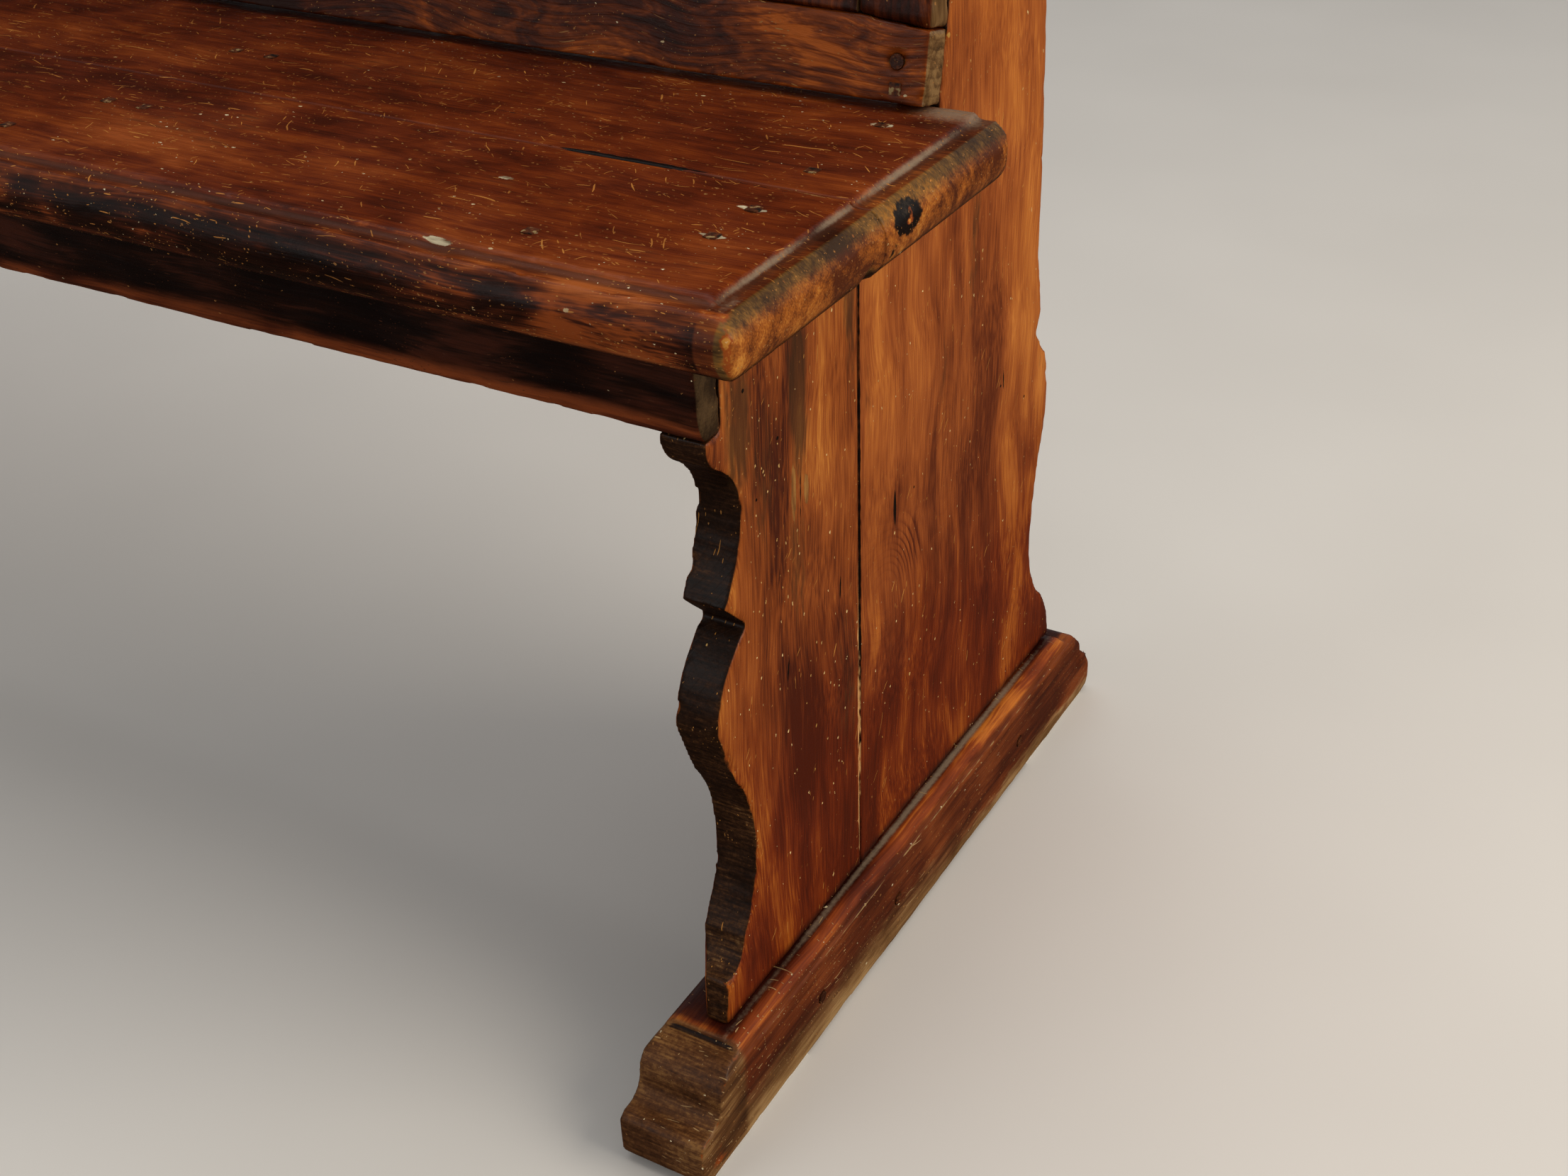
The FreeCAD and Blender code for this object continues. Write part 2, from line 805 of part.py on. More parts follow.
def cap_nails_upright():
    reach = half_span - cap_nail_inset
    depth = frame_thickness / 2
    top = back_height + cap_thickness
    return [nail(x, depth, top, cap_nail_length) for x in spread(-reach, reach, cap_nail_count)]


def cap():
    top = back_height + cap_thickness
    front = -cap_front_overhang
    rear = frame_thickness + standard_top_depth + cap_rear_overhang
    half_length = half_span + cap_end_overhang
    whole = moulded_length(half_length, top, back_height, front, rear)
    edge = nosing_steps(front, -1, top, back_height, end_nose_tuck)
    flat_start = (front + quirk_in, top)
    section = side_prism(flat_start, [*edge, (rear, back_height), (rear, top), flat_start],
                         -half_length, half_length)
    return whole.common(section).cut(cap_nails_upright())


# Every piece, by name

def write(name, shapes):
    if not isinstance(shapes, list):
        shapes = [shapes]
    solids = [solid for shape in shapes for solid in shape.Solids]
    group = Part.makeCompound(solids) if len(solids) > 1 else solids[0]
    group.translate(Vector(0, -bench_middle, 0))
    for solid in solids:
        if not solid.isValid():
            print("not valid:", name)
    print(f"{name}: {len(solids)} solid(s), {sum(s.Volume for s in solids) / 1000:.1f} cm3")
    group.exportStep(f"parts/{name}.step")


def write_pair(name, shapes):
    if not isinstance(shapes, list):
        shapes = [shapes]
    left = [mirrored(shape) for shape in shapes]
    write(f"{name}_right", shapes)
    write(f"{name}_left", left)


def main():
    os.makedirs("parts", exist_ok=True)
    front_plank, standard = end_planks()
    chipped_plank = front_plank.cut(tip_chip())
    write_pair("foot", foot())
    write_pair("foot_pegs", foot_pegs())
    write_pair("felt_front", front_felt())
    write_pair("felt_rear", rear_felt())
    write("end_front_plank_right", chipped_plank)
    write("end_front_plank_left", mirrored(front_plank))
    write_pair("end_standard", standard)
    write_pair("plank_dowels", dowels(dowel_diameter / 2, dowel_length))
    front_board, rear_board = seat_boards()
    write("seat_front_board", front_board)
    write("seat_rear_board", rear_board)
    write("seat_nails", seat_nails())
    write("front_apron", apron())
    write("seat_rear_rail", rear_rail())
    for index, x in enumerate(batten_places()):
        write(f"seat_batten_{index + 1}", batten(x))
    write("back_bottom_rail", on_slope([bottom_rail()]))
    write("back_top_rail", on_slope([top_rail()]))
    last = muntin_count + 1
    for index in range(muntin_count + 2):
        name = f"back_muntin_{index}"
        if index == 0:
            name = "back_stile_left"
        if index == last:
            name = "back_stile_right"
        write(name, on_slope([frame_upright(index)]))
    for index in range(muntin_count + 1):
        write(f"back_panel_{index + 1}", on_slope([panel(index)]))
        write(f"back_panel_beads_{index + 1}", on_slope(panel_beads(index)))
    write("back_frame_pegs", on_slope(frame_pegs_upright(0)))
    write("back_frame_nails", on_slope(frame_nails_upright()))
    write("back_cap", on_slope([cap()]))
    write("back_cap_nails", on_slope(cap_nails_upright()))


main()
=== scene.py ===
import bpy
import bmesh
import itertools
import math
import numpy as np
from mathutils import Matrix, Vector


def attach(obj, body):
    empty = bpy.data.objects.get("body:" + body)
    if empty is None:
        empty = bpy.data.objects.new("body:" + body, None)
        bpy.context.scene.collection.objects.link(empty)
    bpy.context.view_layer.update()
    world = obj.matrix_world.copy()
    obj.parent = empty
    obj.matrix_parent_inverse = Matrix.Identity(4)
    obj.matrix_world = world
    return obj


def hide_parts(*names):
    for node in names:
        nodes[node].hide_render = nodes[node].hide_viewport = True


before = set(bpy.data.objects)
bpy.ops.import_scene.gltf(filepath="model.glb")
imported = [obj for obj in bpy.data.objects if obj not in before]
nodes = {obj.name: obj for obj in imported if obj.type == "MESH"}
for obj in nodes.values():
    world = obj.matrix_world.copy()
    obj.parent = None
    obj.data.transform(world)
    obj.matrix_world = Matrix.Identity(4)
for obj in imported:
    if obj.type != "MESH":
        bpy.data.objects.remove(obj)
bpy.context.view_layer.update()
mm = 0.001

# sockets of the Mix node when it mixes colours
mixShare, mixFirst, mixSecond, mixedColour = 0, 6, 7, 2


def hexColour(code):
    parts = [int(code[i:i + 2], 16) / 255 for i in (0, 2, 4)]
    return [c / 12.92 if c <= 0.04045 else ((c + 0.055) / 1.055) ** 2.4 for c in parts] + [1.0]


def addNode(tree, kind, inputs=None, stops=None, **settings):
    # inputs: socket to a number, a hex colour or another node's output; stops: a ramp's colours
    node = tree.nodes.new("ShaderNode" + kind)
    for name, value in settings.items():
        setattr(node, name, value)
    for socket, value in (inputs or {}).items():
        if isinstance(value, bpy.types.NodeSocket):
            tree.links.new(value, node.inputs[socket])
        elif isinstance(value, str):
            node.inputs[socket].default_value = hexColour(value)
        else:
            node.inputs[socket].default_value = value
    for index, (position, code) in enumerate(stops or []):
        elements = node.color_ramp.elements
        stop = elements[index] if index < len(elements) else elements.new(position)
        stop.position = position
        stop.color = hexColour(code)
    return node.outputs


# Wear worked into the meshes, in millimetres

wear = {
    "reach": 2.4, "steps": 2,                # how far in from an arris it goes, and the smoothing
    "fullArris": 0.55, "fullHollow": 0.35,   # standing out, or lying in, by this much counts in full
    "tightFrom": 1.0, "tightTo": 5.0,        # none nearer than this to a close joint, all beyond it
    "ragged": [(23, 0.6), (7, 0.4)],         # patches that wear unevenly: size and weight
    "share": 0.55, "leastShare": 0.1, "mostShare": 1.4,   # how far a patch goes to the rounded form
    "quicker": 1.6,                          # arrises give way sooner than they show
    "chip": 11, "chipDepth": 1.0, "chipFrom": 0.42, "chipTo": 0.7,     # bites out of the arrises
    "waveDepth": 0.25, "waves": [(90, 1.0), (30, 0.4)], "sunk": 0.8,   # hollows left by the plane
    "raspMarks": [(60, 9, 3.2), (14, 14, 8)], "raspTurn": 1.6,         # tool marks on shaped edges
    "rubbed": 0.75, "rubbedRagged": 0.5, "mostRubbed": 1.3,            # varnish gone from the arrises
}


def latticeNoise(points, size, seed):
    # smooth noise from -1 to 1, changing over about one size (millimetres, one or three numbers)
    lattice = np.random.default_rng(seed).uniform(-1, 1, (32, 32, 32))
    scaled = points / (np.array(size) * mm)
    cell = np.floor(scaled).astype(int)
    part = scaled - cell
    part = part * part * (3 - 2 * part)
    total = np.zeros(len(points))
    for corner in itertools.product((0, 1), repeat=3):
        place = (cell + corner) % 32
        share = np.prod(np.where(corner, part, 1 - part), axis=1)
        total += share * lattice[place[:, 0], place[:, 1], place[:, 2]]
    return total


def rise(value, low, high):
    part = np.clip((value - low) / (high - low), 0, 1)
    return part * part * (3 - 2 * part)


def relaxed(points, edges, steps):
    # each point moved to the middle of its neighbours, several times
    both = np.concatenate([edges, edges[:, ::-1]])
    count = np.bincount(both[:, 0], minlength=len(points))[:, None]
    for _ in range(steps):
        sums = [np.bincount(both[:, 0], points[both[:, 1], axis], len(points)) for axis in range(3)]
        points = np.column_stack(sums) / count
    return points


def spotField(points, spots):
    # strength fades from each spot's middle; a spot is (x, y, z), (size x, y, z), strength
    field = np.zeros(len(points))
    for middle, size, strength in spots:
        apart = (points / mm - np.array(middle)) / np.array(size)
        far = np.sqrt((apart ** 2).sum(1))
        field = np.maximum(field, strength * np.exp(-far ** 2))
    return field


def setField(mesh, name, values):
    mesh.attributes.new(name, "FLOAT", "POINT").data.foreach_set("value", values.astype(np.float32))


# what a mesh carries for its finish: worn arrises, hollows, then spots painted one by one
paintedFields = ["arris", "hollow", "filler", "stain", "soot", "gold", "dustAndHighlight", "flecks", "figure"]
wornSeed = {"count": 0}


def wornPiece(nodeName, look, material):
    # a fine, closed skin over the node's solid, with rounded and chipped arrises
    wornSeed["count"] += 1
    seed = wornSeed["count"] * 10
    shape = bmesh.new()
    shape.from_mesh(nodes[nodeName].data)
    bmesh.ops.remove_doubles(shape, verts=shape.verts, dist=0.01 * mm)
    rough = bpy.data.meshes.new(nodeName + "_rough")
    shape.to_mesh(rough)
    shape.free()
    piece = bpy.data.objects.new(nodeName + "_worn", rough)
    bpy.context.scene.collection.objects.link(piece)
    grid = look["grid"]
    remesh = piece.modifiers.new("grid", "REMESH")
    remesh.mode = "VOXEL"
    remesh.voxel_size = grid * mm
    view = bpy.context.evaluated_depsgraph_get()
    mesh = bpy.data.meshes.new_from_object(piece.evaluated_get(view))
    piece.modifiers.clear()
    piece.data = mesh
    bpy.data.meshes.remove(rough)

    points = np.empty(len(mesh.vertices) * 3)
    mesh.vertices.foreach_get("co", points)
    points = points.reshape(-1, 3)
    edges = np.empty(len(mesh.edges) * 2, int)
    mesh.edges.foreach_get("vertices", edges)
    edges = edges.reshape(-1, 2)
    normals = np.empty(len(mesh.vertices) * 3)
    mesh.vertex_normals.foreach_get("vector", normals)
    normals = normals.reshape(-1, 3)

    reach = look.get("reach", wear["reach"])
    steps = max(wear["steps"], round(wear["steps"] * (reach / grid) ** 2))
    soft = relaxed(points, edges, steps)
    bulge = ((points - soft) * normals).sum(1) / mm
    arris = np.clip(bulge / wear["fullArris"], 0, 1)
    hollow = np.clip(-bulge / wear["fullHollow"], 0, 1)
    tight = np.ones(len(points))
    for axis, value in look.get("tight", []):
        tight *= rise(np.abs(points[:, axis] / mm - value), wear["tightFrom"], wear["tightTo"])
    ragged = sum(latticeNoise(points, size, seed + index) * weight
                 for index, (size, weight) in enumerate(wear["ragged"]))
    share = look["wear"] * np.clip(wear["share"] + ragged, wear["leastShare"], wear["mostShare"]) * tight
    share = np.clip(share, 0, 1) * np.clip(arris * wear["quicker"], 0, 1)
    worn = points + (soft - points) * share[:, None]
    chips = rise(latticeNoise(points, wear["chip"], seed + 2), wear["chipFrom"], wear["chipTo"])
    chips = chips * arris * tight
    waveDepth = look.get("waveDepth", wear["waveDepth"])
    dips = sum(latticeNoise(points, size, seed + 3 + index) * waveDepth * weight
               for index, (size, weight) in enumerate(wear["waves"]))
    depth = chips * look.get("chipDepth", wear["chipDepth"]) + (dips + waveDepth * wear["sunk"]) * tight
    if "rasp" in look:
        # tool marks across the sawn and rasped edges of an end
        marks = sum(latticeNoise(points, size, seed + 5 + index)
                    for index, size in enumerate(wear["raspMarks"]))
        depth += np.clip(1 - np.abs(normals[:, 0]) * wear["raspTurn"], 0, 1) * marks * look["rasp"]
    for middle, size, deep in look.get("dents", []):
        apart = (points / mm - np.array(middle)) / np.array(size)
        depth += deep * np.exp(-(apart ** 2).sum(1) ** 1.5)
    worn -= normals * (depth * mm)[:, None]
    mesh.vertices.foreach_set("co", worn.ravel())
    rubbed = np.clip(wear["rubbed"] + ragged * wear["rubbedRagged"] + chips, 0, wear["mostRubbed"])
    setField(mesh, "arris", arris * rubbed * tight)
    setField(mesh, "hollow", hollow)
    for kind in paintedFields[2:]:
        setField(mesh, kind, spotField(points, look.get(kind, [])))
    mesh.polygons.foreach_set("use_smooth", [True] * len(mesh.polygons))
    mesh.update()
    mesh.materials.clear()
    mesh.materials.append(material)
    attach(piece, "root")
    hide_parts(nodeName)
    print(nodeName, "worn,", len(mesh.polygons), "faces")


# Finishes

# how many spots of each pattern lie side by side in a metre; the fibres, far finer on real pine,
# are drawn one millimetre apart so that they show
perMetre = {
    "wander": 9.0, "fibre": 1000.0, "cloud": 16.0, "grit": 420.0, "flake": 330.0, "strokes": 640.0,
    "curl": 45.0, "speckEdge": 900.0, "shiver": 150.0, "dent": 110.0,
    "smear": 260.0, "fuzz": 1500.0, "mottle": 3.0,
}
# lengthwise, a pattern is drawn out to one part in this share
drawnOut = {"fibre": 0.03, "flake": 0.2, "ring": 0.03, "speck": 0.65, "strokes": 0.1}
broadShare = 0.22      # size of the flames over that of the broad light and dark stretches
curlReach = 8          # millimetres by which a scratch swerves
fleck = {"gap": 2.4, "largest": 0.5, "more": 1.6, "strength": 0.6}   # millimetres, then shares
scratchCore = 0.15     # share of its cell that a scratch fills
speckShake = 0.0016    # metres by which the edge of a speck is torn


def emptyMaterial(name):
    material = bpy.data.materials.new(name)
    material.use_nodes = True
    material.node_tree.nodes.clear()
    return material, material.node_tree


def multiplied(tree, first, second):
    return addNode(tree, "Math", {0: first, 1: second}, operation="MULTIPLY")[0]


def stretched(tree, place, lengthwise, share):
    scale = [share if long else 1.0 for long in lengthwise]
    return addNode(tree, "VectorMath", {0: place, 1: scale}, operation="MULTIPLY")[0]


def mixColour(tree, share, first, second, how="MIX"):
    inputs = {mixShare: share, mixFirst: first, mixSecond: second}
    return addNode(tree, "Mix", inputs, data_type="RGBA", blend_type=how)[mixedColour]


def threshold(tree, value, low, high, lowest=0.0, highest=1.0):
    inputs = {"Value": value, "From Min": low, "From Max": high, "To Min": lowest, "To Max": highest}
    return addNode(tree, "MapRange", inputs, interpolation_type="SMOOTHSTEP")[0]


def weighed(tree, start, parts):
    # start plus each part times its weight
    total = start
    for source, weight in parts:
        total = addNode(tree, "Math", {0: source, 1: weight, 2: total}, operation="MULTIPLY_ADD")[0]
    return total


def strongest(tree, parts):
    total = parts[0]
    for part in parts[1:]:
        total = addNode(tree, "Math", {0: total, 1: part}, operation="MAXIMUM")[0]
    return total


def crackShare(tree, place, shiver, start, end, width):
    # 1 on a line from start to end that bows out to its width half way; shiver makes it wander
    begin = Vector(start) * mm
    run = Vector(end) * mm - begin
    away = addNode(tree, "VectorMath", {0: place, 1: begin}, operation="SUBTRACT")[0]
    along = addNode(tree, "VectorMath", {0: away, 1: run / run.length_squared}, operation="DOT_PRODUCT")[1]
    held = addNode(tree, "Clamp", {"Value": along})[0]
    foot = addNode(tree, "VectorMath", {0: run, "Scale": held}, operation="SCALE")[0]
    gap = addNode(tree, "VectorMath", {0: away, 1: foot}, operation="DISTANCE")[1]
    bow = addNode(tree, "Math", {0: multiplied(tree, held, math.pi)}, operation="SINE")[0]
    shaken = weighed(tree, shiver, [(gap, 1 / mm)])
    far = addNode(tree, "Math", {0: shaken}, operation="ABSOLUTE")[0]
    return threshold(tree, weighed(tree, far, [(bow, -width)]), 0.0, -0.4)


def scratchShare(tree, bent, turn, size, share):
    # straight thin scratches that taper to both ends; size is half of the length and of the width
    cellSize = [part * mm / scratchCore for part in (size[0], size[1], size[1])]
    laid = addNode(tree, "Mapping", {"Vector": bent, "Rotation": turn, "Scale": cellSize},
                   vector_type="TEXTURE")[0]
    cells = addNode(tree, "TexVoronoi", {"Vector": laid, "Scale": 1.0})
    chance = addNode(tree, "SeparateColor", {0: cells[1]})[0]
    reach = addNode(tree, "MapRange", {"Value": chance, "From Min": 1 - share, "From Max": 1.0,
                                       "To Min": 0.0, "To Max": scratchCore}, clamp=False)[0]
    return addNode(tree, "Math", {0: cells[0], 1: reach}, operation="LESS_THAN")[0]


def speckShare(tree, laid, gap, density, largest):
    # scattered specks; gap is the millimetres between places for one
    torn = addNode(tree, "TexNoise", {"Vector": laid, "Scale": perMetre["speckEdge"]})[1]
    laid = addNode(tree, "VectorMath", {0: torn, 1: [speckShake] * 3, 2: laid},
                   operation="MULTIPLY_ADD")[0]
    cells = addNode(tree, "TexVoronoi", {"Vector": laid, "Scale": 1 / (gap * mm)})
    chance = addNode(tree, "SeparateColor", {0: cells[1]})[0]
    barred = addNode(tree, "Math", {0: 1.0, 1: density}, operation="SUBTRACT")[0]
    size = addNode(tree, "MapRange", {"Value": chance, "From Min": barred, "From Max": 1.0,
                                      "To Min": 0.0, "To Max": largest / gap}, clamp=False)[0]
    return addNode(tree, "Math", {0: cells[0], 1: size}, operation="LESS_THAN")[0]


def oldVarnishedPine(name, look):
    # Pine, planed by hand, stained dark and varnished: satin where whole, smoky where the stain
    # gathered, gold where it is rubbed through.
    material, tree = emptyMaterial(name)
    spot = addNode(tree, "TexCoord")
    place = spot["Object"]
    axes = addNode(tree, "SeparateXYZ", {0: place})
    facing = addNode(tree, "SeparateXYZ", {0: spot["Normal"]})[0]
    field = {kind: addNode(tree, "Attribute", attribute_name=kind)[2] for kind in paintedFields}

    # the fibres run long ways, and wander
    wander = addNode(tree, "TexNoise", {"Vector": place, "Scale": perMetre["wander"], "Detail": 1.0})[1]
    bent = addNode(tree, "VectorMath", {0: wander, 1: [look["wander"] * mm] * 3, 2: place},
                   operation="MULTIPLY_ADD")[0]
    lengthwise = [look["grain"] == letter for letter in "XYZ"]
    flames = stretched(tree, bent, lengthwise, look["flameLay"])
    flame = addNode(tree, "TexNoise", {"Vector": flames, "Scale": 1 / (look["flame"] * mm), "Detail": 3.0,
                                       "Roughness": 0.55, "Distortion": look["twist"]})[0]
    broad = addNode(tree, "TexNoise", {"Vector": flames, "Scale": broadShare / (look["flame"] * mm),
                                       "Detail": 1.0})[0]
    fibres = stretched(tree, bent, lengthwise, drawnOut["fibre"])
    fibre = addNode(tree, "TexNoise", {"Vector": fibres, "Scale": perMetre["fibre"], "Detail": 1.0})[0]
    cloud = addNode(tree, "TexNoise", {"Vector": place, "Scale": perMetre["cloud"], "Detail": 3.0})[0]
    grit = addNode(tree, "TexNoise", {"Vector": place, "Scale": perMetre["grit"], "Detail": 3.0,
                                      "Roughness": 0.7})[0]
    flakes = stretched(tree, bent, lengthwise, drawnOut["flake"])
    flake = addNode(tree, "TexNoise", {"Vector": flakes, "Scale": perMetre["flake"], "Detail": 2.0})[0]

    # growth rings show as fine dark lines, mostly round knots
    pith = [look["pith"].get(letter, 0.0) * mm for letter in "XYZ"]
    fromPith = addNode(tree, "VectorMath", {0: bent, 1: pith}, operation="SUBTRACT")[0]
    fromPith = stretched(tree, fromPith, lengthwise, drawnOut["ring"])
    radius = addNode(tree, "VectorMath", {0: fromPith}, operation="LENGTH")[1]
    for middle, size, lift in look["knots"]:
        gap = addNode(tree, "VectorMath", {0: bent, 1: Vector(middle) * mm}, operation="SUBTRACT")[0]
        gap = addNode(tree, "VectorMath", {0: gap, 1: [1 / (part * mm) for part in size]},
                      operation="MULTIPLY")[0]
        near = threshold(tree, addNode(tree, "VectorMath", {0: gap}, operation="LENGTH")[1], 1.6, 0.0)
        radius = weighed(tree, radius, [(near, lift * mm)])
    phase = multiplied(tree, radius, 1 / (look["ring"] * mm))
    phase = addNode(tree, "Math", {0: phase}, operation="FRACT")[0]
    late = multiplied(tree, threshold(tree, phase, 0.45, 0.9), threshold(tree, phase, 1.0, 0.93))
    ringShare = weighed(tree, look["ringShare"], [(field["figure"], look["figureShare"])])
    ringDark = multiplied(tree, late, ringShare)

    weights = look["weights"]
    level = 0.5 - 0.5 * sum(weights)     # every noise lies about one half
    tone = weighed(tree, level, list(zip((flame, broad, fibre, cloud), weights)) + [(ringDark, -1.0)])
    colour = addNode(tree, "ValToRGB", {0: tone}, stops=look["tones"])[0]

    # strokes of the rasp and of wear run across a shaped edge
    across = stretched(tree, place, (True, False, False), drawnOut["strokes"])
    strokes = addNode(tree, "TexNoise", {"Vector": across, "Scale": perMetre["strokes"], "Detail": 3.0,
                                         "Roughness": 0.6, "Distortion": 0.3})[0]
    stroked = weighed(tree, -0.08, [(strokes, 0.4), (cloud, 0.5), (grit, 0.3)])

    # zones go by place, or by how squarely a face looks to the side
    sources = dict(zip("XYZ", axes))
    sources["faceX"] = addNode(tree, "Math", {0: facing}, operation="ABSOLUTE")[0]
    for zone in look["zones"]:
        scale = mm if zone["by"] in "XYZ" else 1
        ragged = zone.get("ragged", 0) * scale
        blur = weighed(tree, sources[zone["by"]], [(flake, ragged), (cloud, ragged)])
        share = threshold(tree, blur, zone["from"] * scale + ragged, zone["to"] * scale + ragged)
        if "only" in zone:
            by, low, high = zone["only"]
            share = multiplied(tree, share, threshold(tree, sources[by], low, high))
        if "tones" in zone:
            shade = stroked if zone.get("strokes") else tone
            other = addNode(tree, "ValToRGB", {0: shade}, stops=zone["tones"])[0]
            colour = mixColour(tree, share, colour, other)
        else:
            colour = mixColour(tree, share, colour, zone["tint"], "MULTIPLY")

    # smoky stains, then black ones with a crisper edge
    smoky = weighed(tree, field["stain"], [(flame, 0.6), (cloud, 0.5), (flake, 0.7)])
    colour = mixColour(tree, threshold(tree, smoky, 1.08, 1.5, highest=0.8), colour, look["stain"])
    sooty = weighed(tree, field["soot"], [(flake, 0.45), (grit, 0.25)])
    colour = mixColour(tree, threshold(tree, sooty, 0.78, 0.95), colour, look["soot"])

    # varnish rubbed from arrises: orange wood first, then gold, then pale bare wood
    worn = weighed(tree, field["gold"], [(field["arris"], look["rubbed"]), (flake, 0.7), (grit, 0.35)])
    orangeShare = threshold(tree, worn, 0.86, 1.12)
    colour = mixColour(tree, orangeShare, colour, look["rubbedFirst"])
    goldShare = threshold(tree, worn, 1.1, 1.24)
    colour = mixColour(tree, goldShare, colour, look["gold"])
    paleShare = threshold(tree, worn, 1.34, 1.44)
    colour = mixColour(tree, paleShare, colour, look["pale"])

    # grime, and dust; along the seat's quirks the pale dust line also carries a painted highlight
    deep = threshold(tree, weighed(tree, field["hollow"], [(flake, 0.3)]), 0.4, 1.0)
    colour = mixColour(tree, multiplied(tree, deep, look["grimeShare"]), colour, look["grime"])
    dustAndHighlightLevel = weighed(tree, field["dustAndHighlight"], [(cloud, 0.5), (grit, 0.4)])
    dustAndHighlightShare = threshold(tree, dustAndHighlightLevel, 0.62, 1.1, highest=0.8)
    colour = mixColour(tree, dustAndHighlightShare, colour, look["dustAndHighlight"])

    # scratches through the stain, and specks of paint and plaster
    curl = addNode(tree, "TexNoise", {"Vector": place, "Scale": perMetre["curl"], "Detail": 1.0})[1]
    curled = addNode(tree, "VectorMath", {0: curl, 1: [curlReach * mm] * 3, 2: bent},
                     operation="MULTIPLY_ADD")[0]
    scratched = strongest(tree, [scratchShare(tree, curled, *one) for one in look["scratches"]])
    scratchTone = multiplied(tree, scratched, threshold(tree, cloud, 0.3, 0.62, 0.35, 1.0))
    colour = mixColour(tree, scratchTone, colour, look["scratch"])
    density = weighed(tree, look["specks"], [(field["flecks"], 0.9), (field["arris"], look["arrisSpecks"])])
    scattered = stretched(tree, place, lengthwise, drawnOut["speck"])
    flecked = speckShare(tree, scattered, fleck["gap"], multiplied(tree, density, fleck["more"]),
                         fleck["largest"])
    colour = mixColour(tree, multiplied(tree, flecked, fleck["strength"]), colour, look["fleck"])
    specks = strongest(tree, [speckShare(tree, scattered, gap, density, largest)
                              for gap, largest in look["speckSizes"]])
    speckColour = addNode(tree, "ValToRGB", {0: cloud}, stops=look["speckTones"])[0]
    colour = mixColour(tree, specks, colour, speckColour)

    # old filling, smooth and crisp at its edge
    filled = weighed(tree, field["filler"], [(flake, 0.35), (grit, 0.2)])
    fillerShare = threshold(tree, filled, 0.78, 0.84)
    fillerColour = addNode(tree, "ValToRGB", {0: flake}, stops=look["filler"])[0]
    colour = mixColour(tree, fillerShare, colour, fillerColour)

    # cracks, the thin pale lines that edge them, worm holes, and pale lines that are a painted highlight
    # along an arris
    dark = []
    shiver = addNode(tree, "TexNoise", {"Vector": place, "Scale": perMetre["shiver"], "Detail": 1.0})[0]
    shiver = weighed(tree, -0.5 * look["crackWander"], [(shiver, look["crackWander"])])
    for start, end, width in look["cracks"]:
        dark.append(crackShare(tree, place, shiver, start, end, width))
    for middle, size in look["holes"]:
        gap = addNode(tree, "VectorMath", {0: place, 1: Vector(middle) * mm}, operation="DISTANCE")[1]
        dark.append(addNode(tree, "Math", {0: gap, 1: size * mm}, operation="LESS_THAN")[0])
    cracked = strongest(tree, dark) if dark else None
    if dark:
        colour = mixColour(tree, cracked, colour, look["crack"])
    for start, end, width in look["paleLinesAndHighlights"]:
        line = crackShare(tree, place, shiver, start, end, width)
        broken = multiplied(tree, line, threshold(tree, flake, 0.36, 0.46))
        colour = mixColour(tree, broken, colour, look["paleLineAndHighlightTone"])

    # gloss: satin varnish, dull where worn, filled, dusty, and on the painted highlight lines
    dull = strongest(tree, [goldShare, fillerShare, dustAndHighlightShare])
    rough = threshold(tree, cloud, 0.3, 0.7, *look["gloss"])
    rough = weighed(tree, rough, [(dull, 0.2), (grit, 0.06), (field["arris"], -0.12)])

    # relief, in millimetres
    dent = addNode(tree, "TexNoise", {"Vector": place, "Scale": perMetre["dent"], "Detail": 3.0})[0]
    heights = [(fibre, look["relief"]), (late, 0.04), (dent, look["dent"]), (grit, look["gritHeight"]),
               (scratched, -0.1), (specks, 0.08), (fillerShare, -0.15), (orangeShare, -0.12)]
    relief = weighed(tree, 0.0, heights + ([(cracked, -0.9)] if dark else []))
    bump = addNode(tree, "Bump", {"Height": relief, "Distance": mm, "Strength": 1.0})[0]

    surface = addNode(tree, "BsdfPrincipled", {
        "Base Color": colour, "Roughness": rough, "Normal": bump, "IOR": 1.5,
        "Specular IOR Level": look["shine"]})[0]
    addNode(tree, "OutputMaterial", {0: surface})
    return material


# What every finish of this bench starts from. Lengths are in millimetres; a ramp is a list of
# (tone, colour); a zone is painted between "from" and "to", ragged by so much, and may hold "only"
# where something else runs from a low to a high value (places in metres); a crack or pale line is
# (start, end, width), where a pale line edges a crack or is a painted highlight along an arris;
# a hole is (middle, radius), scratches are (turn, (half length, half width), share).
baseLook = {
    "grain": "X", "wander": 14, "flame": 15, "flameLay": 0.18, "twist": 0.4,
    "weights": (1.2, 1.0, 0.3, 0.6),
    "pith": {"Y": -60, "Z": 380}, "ring": 4.5, "ringShare": 0.05, "figureShare": 0.5, "knots": [],
    "zones": [], "stain": "2a1c10", "soot": "0b0402",
    "rubbed": 0.3, "rubbedFirst": "8a3f0e", "gold": "b5782e", "pale": "d9bd8c",
    "grime": "1a0b04", "grimeShare": 1.0, "dustAndHighlight": "8a7660",
    "scratch": "a07440",
    "scratches": [((0, 0, 0.15), (10, 0.32), 0.8), ((0, 0, -0.5), (7, 0.3), 0.8),
                  ((0, 0, 1.2), (5, 0.3), 0.6)],
    "specks": 0.3, "arrisSpecks": 0.1, "speckSizes": [(4.5, 0.8), (13, 1.8)],
    "speckTones": [(0.35, "a08658"), (0.6, "d8c8a4")], "fleck": "a5713a",
    "filler": [(0.35, "6e5c44"), (0.5, "a39478"), (0.65, "c4b696")],
    "cracks": [], "crackWander": 2.0, "crack": "080301", "holes": [], "paleLinesAndHighlights": [], "paleLineAndHighlightTone": "d0a868",
    "gloss": (0.34, 0.46), "shine": 0.14, "relief": 0.1, "dent": 0.3, "gritHeight": 0.12,
}
